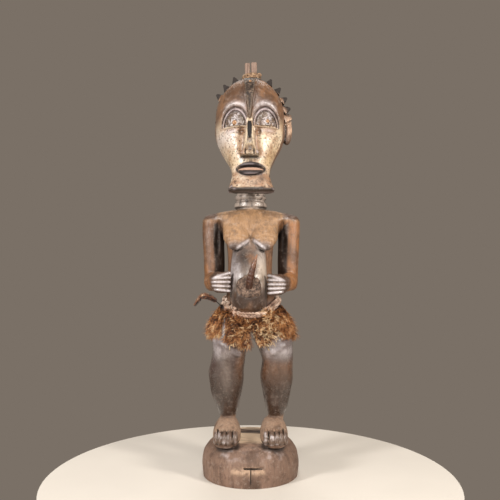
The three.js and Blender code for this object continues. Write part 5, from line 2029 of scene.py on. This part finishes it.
def lock_mesh(name, length, thickness, fan, curl, seed):
    """A lock of a few pointed hairs that grow along +Z, bend apart and curl to one side."""
    rng = np.random.default_rng(seed)
    share = np.linspace(0, 1, 4)
    skins = []
    for _ in range(HAIRS_IN_LOCK):
        way = rng.normal(0, fan, 2)
        root = rng.normal(0, length * 0.04, 2)
        long = length * rng.uniform(0.75, 1.05)
        bend = rng.normal(0, fan * 0.7, 2) + (0, curl)
        path = np.zeros((4, 3))
        path[:, :2] = root + np.outer(share, way) * long * 0.5 + np.outer(share**2, bend) * long
        path[:, 2] = (share - curl * 0.45 * share**3) * long
        skins.append(tube_skin(path, thickness * np.array([0.8, 1.0, 0.8, 0.08]), 3))
    return skinned_lock(name, skins, length)


def feather_mesh(name, length, half, barbs, seed):
    """A small feather along +Z: a quill with a few soft pointed barbs on both of its sides."""
    rng = np.random.default_rng(seed)
    share = np.linspace(0, 1, 4)
    bow = 0.25 * length * share**2
    quill = np.stack([0 * share, bow, share * length], axis=1)
    skins = [tube_skin(quill, np.linspace(0.7, 0.2, 4), 3)]
    steps = np.linspace(0, 1, 3)[:, None]
    for side in (-1, 1):
        for place in np.linspace(0.2, 0.9, barbs):
            reach = half * rng.uniform(0.7, 1.2)
            start = np.array([0, 0.25 * length * place**2, place * length])
            curl = rng.uniform(-0.4, 0.6) * reach * steps**2
            rise = length * rng.uniform(0.15, 0.3) * steps
            path = start + np.hstack([side * reach * steps, curl, rise])
            skins.append(tube_skin(path, np.array([0.5, 0.6, 0.08]), 3))
    return skinned_lock(name, skins, length)


def skinned_lock(name, skins, length):
    points, faces = joined_skins(skins)
    piece = mesh_of(name, points, faces)
    set_number(piece, "along", np.clip(points[:, 2] / length, 0, 1))
    return piece


def grown_on(n, given, flow, outer, kind, source, turn):
    """Copies of one small mesh, grown from the mat along its flow and tinted at random."""
    scatter = n.add("GeometryNodeDistributePointsOnFaces", {"Mesh": given["Geometry"]})
    n.feed(scatter.inputs["Density"], n.math("MULTIPLY", outer, given[kind + " density"]))
    n.feed(scatter.inputs["Seed"], n.math("ADD", given["Seed"], float(turn)))
    shake = {0: (-1, -1, -1), 1: (1, 1, 1), "Seed": turn}
    shake = n.out("FunctionNodeRandomValue", shake, data_type="FLOAT_VECTOR")
    way = n.vector("ADD", flow, n.scaled(shake, given["Spread"]))
    waves = n.add("ShaderNodeTexNoise", {"Scale": 48.0, "Detail": 1.0}).outputs["Color"]
    waves = n.vector("SUBTRACT", waves, (0.5, 0.5, 0.5))
    way = n.vector("ADD", way, n.scaled(waves, given["Waves"]))
    turned = n.out("FunctionNodeAlignRotationToVector", {"Vector": way}, axis="Z")
    spin = {"Angle": n.random(-math.pi, math.pi, turn + 1)}
    about = n.out("FunctionNodeAxisAngleToRotation", spin)
    both = {"Rotation": turned, "Rotate By": about}
    turned = n.out("FunctionNodeRotateRotation", both, rotation_space="LOCAL")
    copies = {
        "Points": scatter.outputs["Points"],
        "Instance": n.add("GeometryNodeObjectInfo", {"Object": source}).outputs["Geometry"],
        "Rotation": turned,
        "Scale": n.random(given["Shortest"], given["Longest"], turn + 2),
    }
    grown = n.out("GeometryNodeInstanceOnPoints", copies)
    shade = n.random(given[kind + " darkest"], given[kind + " palest"], turn + 3)
    tint = {"Geometry": grown, "Name": "tint", "Value": shade}
    stored = n.add("GeometryNodeStoreNamedAttribute", tint, data_type="FLOAT", domain="INSTANCE")
    return stored.outputs[0]


def bunch_tree(name, material, sources):
    """Locks and feathers of several kinds that grow from a mat, along its flow."""
    inputs = {"Spread": "Float", "Waves": "Float", "Seed": "Int"}
    inputs.update({"Shortest": "Float", "Longest": "Float"})
    for kind in sources:
        inputs.update({kind + part: "Float" for part in (" density", " darkest", " palest")})
    tree, n, given = new_tree(name, inputs)
    outer = n.out("GeometryNodeInputNamedAttribute", {"Name": "outer"}, data_type="FLOAT")
    flow = n.add("GeometryNodeInputNamedAttribute", {"Name": "flow"}, data_type="FLOAT_VECTOR")
    whole = n.add("GeometryNodeJoinGeometry")
    n.tree.links.new(given["Geometry"], whole.inputs[0])
    for number, (kind, source) in enumerate(sources.items()):
        grown = grown_on(n, given, flow.outputs[0], outer, kind, source, 10 * number)
        n.tree.links.new(grown, whole.inputs[0])
    finish_tree(n, whole.outputs[0], material)
    return tree


# Each bunch hangs from a line on the cord to a line of tips, and bulges outward in between.
# Spread and waves say how much its hair strays. Shares are for smooth locks, curly locks and
# feathers, of the density in the settings. Tones are its darkest and its palest tint.
BUNCHES = {
    "skirt_left": {
        "root": [(-46, -38, 327), (-54, 20, 340)],
        "tips": [(-50, -58, 284), (-64, 18, 276)],
        "outward": (-0.92, -0.4, 0),
        "bulge": 4,
        "spread": 0.08,
        "waves": 0.4,
        "shares": (0.86, 0.1, 0.0),
        "tones": (0.3, 0.95),
    },
    "skirt_front_left": {
        "root": [(-48, -40, 325), (-6, -64, 314)],
        "tips": [(-44, -78, 276), (-8, -84, 260)],
        "outward": (0, -1, 0),
        "bulge": 8,
        "spread": 0.36,
        "waves": 3.4,
        "shares": (0.35, 0.6, 0.1),
        "tones": (0.1, 0.78),
    },
    "skirt_front_right": {
        "root": [(3, -64, 314), (48, -40, 326)],
        "tips": [(8, -82, 264), (44, -80, 282)],
        "outward": (0.1, -1, 0),
        "bulge": 8,
        "spread": 0.42,
        "waves": 3.6,
        "shares": (0.3, 0.5, 0.55),
        "tones": (0.1, 0.9),
    },
    "skirt_right": {
        "root": [(47, -36, 330), (53, 20, 340)],
        "tips": [(52, -64, 280), (63, 18, 274)],
        "outward": (0.92, -0.4, 0),
        "bulge": 4,
        "spread": 0.08,
        "waves": 0.4,
        "shares": (0.76, 0.08, 0.0),
        "tones": (0.28, 0.9),
    },
    "skirt_back": {
        "root": [(-48, 38, 346), (48, 38, 346)],
        "tips": [(-74, 46, 284), (74, 46, 284)],
        "outward": (0, 1, 0),
        "bulge": 23,
        "spread": 0.3,
        "waves": 1.6,
        "shares": (0.42, 0.18, 0.02),
        "tones": (0.15, 0.8),
    },
}
MAT_THICKNESS = 3.0
MAT_REACH = 0.74
MAT_COLUMNS = 14
MAT_ROWS = 10
FLOW_LIFT = 0.08
FEATHER_TONES = (0.85, 1.3)


def mat_object(name, bunch):
    """A thin mat that hangs from the cord, with the way its hair flows at each point."""
    across = np.linspace(0, 1, MAT_COLUMNS)[:, None, None]
    down = np.linspace(0, MAT_REACH, MAT_ROWS)[None, :, None]
    root = np.array(bunch["root"], float)
    tips = np.array(bunch["tips"], float)
    top = root[0] + (root[1] - root[0]) * across
    tip = tips[0] + (tips[1] - tips[0]) * across
    out = unit(np.array(bunch["outward"], float))
    crown = (top + tip) / 2 + out * bunch["bulge"] * 0.8
    middle = 2 * crown - (top + tip) / 2
    front = top * (1 - down) ** 2 + 2 * middle * down * (1 - down) + tip * down**2
    front = pushed_out(front.reshape(-1, 3), MAT_THICKNESS + 1.5).reshape(front.shape)
    flow = 2 * (middle - top) * (1 - down) + 2 * (tip - middle) * down
    flow = unit(flow) + out * FLOW_LIFT
    back = front - out * MAT_THICKNESS
    if np.cross(front[1, 0] - front[0, 0], front[0, 1] - front[0, 0]) @ out < 0:
        front, back, flow = front[::-1], back[::-1], flow[::-1]
    points, faces = plate_skin(front.transpose(1, 0, 2)[:, ::-1], back.transpose(1, 0, 2)[:, ::-1])
    flow = flow.transpose(1, 0, 2)[:, ::-1].reshape(-1, 3)
    piece = mesh_of(name, points, faces)
    layer = piece.data.attributes.new("flow", "FLOAT_VECTOR", "POINT")
    layer.data.foreach_set("vector", np.vstack([flow, flow]).astype(np.float32).ravel())
    set_number(piece, "outer", np.repeat([1.0, 0.0], len(flow)))
    # The mat takes the darkest tint: a dark sheet under the locks that stands for the deep shade among them.
    set_number(piece, "tint", np.full(2 * len(flow), 0.05))
    set_number(piece, "along", np.zeros(2 * len(flow)))
    return piece


def make_skirt(look):
    sources = {
        "Smooth": lock_mesh("smooth_lock", length=36, thickness=0.34, fan=0.05, curl=0.12, seed=71),
        "Curly": lock_mesh("curly_lock", length=38, thickness=0.5, fan=0.12, curl=0.35, seed=73),
        "Feather": feather_mesh("small_feather", length=30, half=5.0, barbs=4, seed=72),
    }
    colours = (look.fur_dark, look.fur_brown, look.fur_orange, look.fur_pale, look.straw_pale)
    material = hair_material("Fur and feathers", colours, roughness=0.5)
    tree = bunch_tree("Fur and feathers on a mat", material, sources)
    for number, (node, bunch) in enumerate(BUNCHES.items()):
        piece = mat_object(node.replace("skirt", "bunch"), bunch)
        values = {
            "Spread": bunch["spread"],
            "Waves": bunch["waves"],
            "Seed": look.seed + number,
            "Shortest": 0.6,
            "Longest": 1.0,
        }
        for kind, share in zip(sources, bunch["shares"]):
            is_feather = kind == "Feather"
            density = share * (look.feather_density if is_feather else look.fur_density)
            darkest, palest = FEATHER_TONES if is_feather else bunch["tones"]
            values[kind + " density"] = density * 1
            values[kind + " darkest"] = darkest
            values[kind + " palest"] = palest
        run_tree(piece, tree, values)
        piece.data.shade_smooth()
        finished(piece, node)
    for source in sources.values():
        bpy.data.objects.remove(source)


FEATHER_ROUTE = [(-56, -26, 334), (-69.5, -27, 346), (-83, -27, 353), (-96, -26, 352.5), (-109.5, -26, 336)]
QUILL_STEPS = 40


def make_feather(look):
    quill = smooth_path(FEATHER_ROUTE, QUILL_STEPS)
    share = np.linspace(0, 1, QUILL_STEPS)
    skins = [tube_skin(quill, np.linspace(1.0, 0.25, QUILL_STEPS), 6)]
    tones = [np.full(len(skins[0][0]), 0.15)]
    rng = np.random.default_rng(81)
    ways = unit(np.gradient(quill, axis=0))
    for side in (-1, 1):
        for place in np.linspace(0.18, 0.99, look.barbs):
            spot = np.array([np.interp(place, share, quill[:, i]) for i in range(3)])
            way = np.array([np.interp(place, share, ways[:, i]) for i in range(3)])
            out = unit(np.cross(way, (0, -1, 0.25)))
            reach = 6.4 * math.sin(math.pi * min(1, 0.08 + place * 0.86)) ** 0.8 + 0.8
            reach *= rng.uniform(0.85, 1.08)
            steps = np.linspace(0, 1, 5)[:, None]
            bend = np.array([0, -0.18, 0]) * reach * rng.uniform(0.2, 1.0)
            path = spot + side * out * reach * steps + way * reach * 0.85 * steps**0.9 + bend * steps**2
            skins.append(tube_skin(path, [0.5, 0.55, 0.45, 0.3, 0.05], 3))
            tone = rng.uniform(0.2, 0.5) + (0.35 if side > 0 else 0)
            tones.append(np.full(len(skins[-1][0]), tone))
    points, faces = joined_skins(skins)
    piece = mesh_of("feather_at_hip", points, faces)
    set_number(piece, "tint", np.concatenate(tones))
    set_number(piece, "along", np.zeros(len(points)))
    colours = (look.fur_dark, look.fur_brown, look.feather_brown, look.feather_pale)
    dress(piece, hair_material("Brown feather", colours, roughness=0.55))
    finished(piece, "loose_feather")


# Stage

SENSOR_WIDTH = 36.0
CAMERA_SHIFT = (-0.001, 0.082)

# Each light has its place, the point it looks at, its size, its share of the key power and
# its colour.
LIGHTS = {
    "left soft box": ((-1.25, -1.1, 0.95), (0, 0, 0.45), (0.24, 0.5), 1.0, (1, 0.98, 0.96)),
    "right soft box": ((1.25, -1.1, 0.95), (0, 0, 0.45), (0.24, 0.5), 1.0, (1, 0.95, 0.89)),
    "front soft box": ((0, -1.15, 1.75), (0, 0, 0.45), (0.5, 0.3), 0.42, (1, 0.98, 0.95)),
    "low soft box": ((0, -1.25, 0.12), (0, 0, 0.5), (1.0, 0.2), 0.2, (1, 0.96, 0.92)),
    "back light": ((0, 0.8, 1.8), (0, 0, 0.2), (0.7, 0.6), 0.4, (1, 0.97, 0.93)),
}


def area_light(name, place, aim, size, power, colour):
    light = bpy.data.lights.new(name, "AREA")
    light.shape = "RECTANGLE"
    light.size, light.size_y = size
    light.energy = power
    light.color = colour
    lamp = bpy.data.objects.new(name, light)
    lamp.location = place
    lamp.rotation_euler = (Vector(aim) - Vector(place)).to_track_quat("-Z", "Y").to_euler()
    bpy.context.collection.objects.link(lamp)


def make_stage(look):
    angle = np.linspace(0, 2 * math.pi, 97)[:-1]
    rim = np.stack([np.cos(angle), np.sin(angle), 0 * angle], axis=1) * look.floor_radius
    mesh = bpy.data.meshes.new("floor")
    mesh.from_pydata([tuple(p) for p in rim], [], [tuple(range(len(rim)))])
    floor = bpy.data.objects.new("floor", mesh)
    bpy.context.collection.objects.link(floor)
    dress(floor, stage_material("Pale floor", look.floor_colour))
    world = bpy.data.worlds.new("Soft surroundings")
    world.use_nodes = True
    sky = world.node_tree.nodes["Background"]
    sky.inputs["Color"].default_value = full(look.surroundings)
    sky.inputs["Strength"].default_value = look.surroundings_strength
    bpy.context.scene.world = world
    bpy.context.scene.view_settings.view_transform = "Standard"
    for name, (place, aim, size, share, colour) in LIGHTS.items():
        area_light(name, place, aim, size, look.key_power * share, colour)
    view = bpy.data.cameras.new("camera")
    view.lens = look.lens
    view.sensor_width = SENSOR_WIDTH
    view.shift_x, view.shift_y = CAMERA_SHIFT
    camera = bpy.data.objects.new("camera", view)
    camera.location = (0, -look.camera_distance, look.camera_height)
    camera.rotation_euler = (math.radians(90), 0, 0)
    bpy.context.collection.objects.link(camera)
    bpy.context.scene.camera = camera


# Settings, operators and panel

def colour_of(name, description, code):
    return FloatVectorProperty(
        name=name, description=description, default=from_hex(code), subtype="COLOR", min=0, max=1
    )


def length_of(name, description, default):
    return FloatProperty(name=name, description=description, default=default, unit="LENGTH", min=0)


def number_of(name, description, default, unit="NONE"):
    return FloatProperty(name=name, description=description, default=default, unit=unit)


def count_of(name, description, default):
    return IntProperty(name=name, description=description, default=default)


class CarvingSettings(bpy.types.PropertyGroup):
    detail: length_of("Detail", "Size of the finest step of the carved surface", 0.00115)
    triangles: count_of("Triangles", "Triangles that the carving keeps", 188000)
    brown: colour_of("Brown", "Bare wood", 0x765640)
    # Dark brown is also laid as painted shade in the eye hollows, under the lower lids and along the seams
    # beside the nose.
    dark_brown: colour_of("Dark brown", "Wood under dark patina", 0x3E2A1E)
    purple_brown: colour_of("Purple brown", "Dark lacquered legs and shoulders", 0x4A3A36)
    # Leather is also laid as the painted shade beside the nose.
    leather: colour_of("Leather", "Warm brown stains", 0x855C3C)
    forehead: colour_of("Forehead", "Warm worn wood of the forehead", 0x76543A)
    chest: colour_of("Chest", "Warm worn wood of the chest", 0x92704F)
    arm: colour_of("Arm", "Warm worn wood of the arms", 0x8E5B30)
    belly: colour_of("Belly", "Greyish brown belly", 0x6E5E54)
    base: colour_of("Base", "Dusty wood of the base", 0x765C4C)
    hair: colour_of("Hair", "Blackened coiffure", 0x241B16)
    ear: colour_of("Ear", "Pinkish worn ear", 0xDCB494)
    ash: colour_of("Ash", "Greyish crust", 0xA3958A)
    olive: colour_of("Olive", "Dark olive crust", 0x4C4230)
    # Silver is also laid as painted highlights on the knees, thighs, breasts, belly, shoulder caps, brows
    # and left cheek, and pale on the crests of the fingers and toes.
    silver: colour_of("Silver", "Pale rubbed crust on the hands and toes", 0xBDB4B4)
    # Lilac is also laid as painted highlights on the lid ridges, nose wings, lips and beard corners.
    lilac: colour_of("Lilac", "Pale glossy crust round the eyes", 0xB4A6A8)
    cream: colour_of("Cream", "Pale pigment of the face", 0xD4C0A4)
    straw: colour_of("Straw", "Yellowish pigment of the cheeks", 0xC29E68)
    tan: colour_of("Tan", "Dusty wood of the feet", 0x8E7460)
    pale_wood: colour_of("Pale wood", "Rubbed and chipped wood", 0xCEAE90)
    # This dark is also laid as painted shade in hollows, grooves, armpits, inner arms, lid grooves and under
    # the nose and beard.
    soot_and_shade: colour_of("Soot", "Dirt in hollows and blackened wood", 0x1A120E)
    lip: colour_of("Lip", "Dark lips", 0x1E120E)
    coral: colour_of("Coral", "Pale ledge between the lips", 0xAE8A74)
    peg: colour_of("Peg", "Pale wood of the pegs on the crown", 0x867062)
    peg_dark: colour_of("Peg shade", "Grain of the pegs on the crown", 0x5E483C)
    paste: colour_of("Head paste", "Paste round the pegs", 0x8A6A4E)
    paste_dark: colour_of("Head paste shade", "Cracks in the paste", 0x3A281C)
    paste_pale: colour_of("Head paste light", "Pale crumbs in the paste", 0xC9AC8A)


class MetalSettings(bpy.types.PropertyGroup):
    strip_thickness: length_of("Strip thickness", "Thickness of the metal strips", 0.0015)
    iron: colour_of("Iron", "Middle tone of the strips", 0x3A2E26)
    iron_dark: colour_of("Iron shade", "Dark tone of the strips", 0x1A120E)
    iron_black: colour_of("Iron on the nose", "Blackened strip on the nose", 0x100C0A)
    iron_pale: colour_of("Iron light", "Rubbed tone of the strips", 0x7E6C5C)
    copper: colour_of("Copper", "Tack heads", 0xA4805E)
    copper_dark: colour_of("Copper shade", "Dull rim of the tack heads", 0x7A5232)


class BellySettings(bpy.types.PropertyGroup):
    horn_rings: count_of("Horn rings", "Ring ridges along the horn", 15)
    horn: colour_of("Horn", "Middle of the horn", 0x4A2C1E)
    horn_dark: colour_of("Horn shade", "Root of the horn", 0x22130C)
    horn_pale: colour_of("Horn light", "Tip of the horn", 0x8A6248)
    charge: colour_of("Paste", "Crusty paste on the belly", 0x5E4A3E)
    charge_dark: colour_of("Paste shade", "Cracks in the paste", 0x2E221A)
    charge_pale: colour_of("Paste light", "Pale crumbs in the paste", 0x8C7462)


class CordSettings(bpy.types.PropertyGroup):
    strand_radius: length_of("Strand radius", "Radius of one strand of the cord", 0.0018)
    lay_radius: length_of("Lay radius", "Distance of a strand from the cord's middle", 0.0016)
    turns_per_metre: number_of("Turns per metre", "How tightly the cord is twisted", 85)
    cord: colour_of("Cord", "Plant fibre", 0xB89C88)
    cord_dark: colour_of("Cord shade", "Fibre in shade", 0x6A4C3E)
    cord_pale: colour_of("Cord light", "Dusty fibre", 0xE2CEBC)


class SkirtSettings(bpy.types.PropertyGroup):
    fur_density: number_of("Fur density", "Locks per square metre", 640000)
    feather_density: number_of("Feather density", "Feathers per square metre", 110000)
    seed: count_of("Seed", "Number that fixes the random places", 7)
    barbs: count_of("Barbs", "Barbs on each side of the loose feather", 60)
    fur_dark: colour_of("Fur shade", "Deep shade in the fur", 0x20110A)
    fur_brown: colour_of("Fur brown", "Red-brown fur", 0x6E4026)
    fur_orange: colour_of("Fur orange", "Orange-brown fur", 0xAA6E38)
    fur_pale: colour_of("Fur light", "Pale tips", 0xC8935E)
    straw_pale: colour_of("Straw", "Pale straw-like feathers", 0xDCC198)
    feather_brown: colour_of("Feather brown", "Loose feather", 0x7A5030)
    feather_pale: colour_of("Feather light", "Pale edge of the loose feather", 0xC8A888)


class StageSettings(bpy.types.PropertyGroup):
    key_power: number_of("Key power", "Power of each large lamp", 30, "POWER")
    floor_radius: length_of("Floor radius", "Radius of the round floor", 0.4)
    floor_colour: colour_of("Floor", "Pale floor", 0xCFC8BE)
    surroundings: colour_of("Surroundings", "Plain colour behind the figure", 0x7A7066)
    surroundings_strength: number_of("Fill", "Strength of the light from all round", 1.0)
    lens: number_of("Lens", "Focal length in mm", 40.32, "CAMERA")
    camera_distance: length_of("Camera distance", "From the figure's axis to the camera", 1.12)
    camera_height: length_of("Camera height", "Height of the camera over the floor", 0.3643)


class MakeStage(bpy.types.Operator):
    """Make the floor, the lights and the camera"""

    bl_idname = "power_figure.stage"
    bl_label = "Stage"

    def execute(self, context):
        make_stage(context.scene.figure_stage)
        return {"FINISHED"}


class MakeCarving(bpy.types.Operator):
    """Make the carved figure on its base"""

    bl_idname = "power_figure.carving"
    bl_label = "Carved figure"

    def execute(self, context):
        make_carving(context.scene.figure_carving)
        return {"FINISHED"}


class MakeCrown(bpy.types.Operator):
    """Make the ring of paste and the two pegs on top of the head"""

    bl_idname = "power_figure.crown"
    bl_label = "Crown"

    def execute(self, context):
        make_crown(context.scene.figure_carving)
        return {"FINISHED"}


class MakeHeadMetal(bpy.types.Operator):
    """Make the metal strips on the forehead and nose, and the copper tacks"""

    bl_idname = "power_figure.head_metal"
    bl_label = "Metal on the head"

    def execute(self, context):
        make_head_metal(context.scene.figure_metal)
        return {"FINISHED"}


class MakeBelly(bpy.types.Operator):
    """Make the horn in the belly and the paste round it"""

    bl_idname = "power_figure.belly"
    bl_label = "Belly horn and paste"

    def execute(self, context):
        make_belly(context.scene.figure_belly)
        return {"FINISHED"}


class MakeCord(bpy.types.Operator):
    """Make the twisted cord round the hips"""

    bl_idname = "power_figure.cord"
    bl_label = "Waist cord"

    def execute(self, context):
        make_cord(context.scene.figure_cord)
        return {"FINISHED"}


class MakeSkirt(bpy.types.Operator):
    """Make the bunches of fur and feathers under the cord"""

    bl_idname = "power_figure.skirt"
    bl_label = "Skirt"

    def execute(self, context):
        make_skirt(context.scene.figure_skirt)
        return {"FINISHED"}


class MakeFeather(bpy.types.Operator):
    """Make the single feather that sticks out at the hip"""

    bl_idname = "power_figure.feather"
    bl_label = "Loose feather"

    def execute(self, context):
        make_feather(context.scene.figure_skirt)
        return {"FINISHED"}


OPERATORS = (
    MakeStage,
    MakeCarving,
    MakeCrown,
    MakeHeadMetal,
    MakeBelly,
    MakeCord,
    MakeSkirt,
    MakeFeather,
)
SETTINGS = {
    "figure_carving": CarvingSettings,
    "figure_metal": MetalSettings,
    "figure_belly": BellySettings,
    "figure_cord": CordSettings,
    "figure_skirt": SkirtSettings,
    "figure_stage": StageSettings,
}


class FigurePanel(bpy.types.Panel):
    """Buttons that make the pieces, and the settings they use"""

    bl_idname = "VIEW3D_PT_power_figure"
    bl_label = "Carved power figure"
    bl_space_type = "VIEW_3D"
    bl_region_type = "UI"
    bl_category = "Figure"

    def draw(self, context):
        for operator in OPERATORS:
            self.layout.operator(operator.bl_idname)
        for name, group in SETTINGS.items():
            box = self.layout.box()
            box.label(text=name.replace("figure_", "").capitalize())
            for label in group.__annotations__:
                box.prop(getattr(context.scene, name), label)


def register():
    for kind in (*SETTINGS.values(), *OPERATORS, FigurePanel):
        bpy.utils.register_class(kind)
    for name, group in SETTINGS.items():
        setattr(bpy.types.Scene, name, PointerProperty(type=group))


def unregister():
    for name in SETTINGS:
        delattr(bpy.types.Scene, name)
    for kind in (FigurePanel, *OPERATORS, *SETTINGS.values()):
        bpy.utils.unregister_class(kind)


def main():
    register()
    bpy.ops.power_figure.stage()
    bpy.ops.power_figure.carving()
    bpy.ops.power_figure.crown()
    bpy.ops.power_figure.head_metal()
    bpy.ops.power_figure.belly()
    bpy.ops.power_figure.cord()
    bpy.ops.power_figure.skirt()
    bpy.ops.power_figure.feather()


if __name__ == "__main__":
    main()
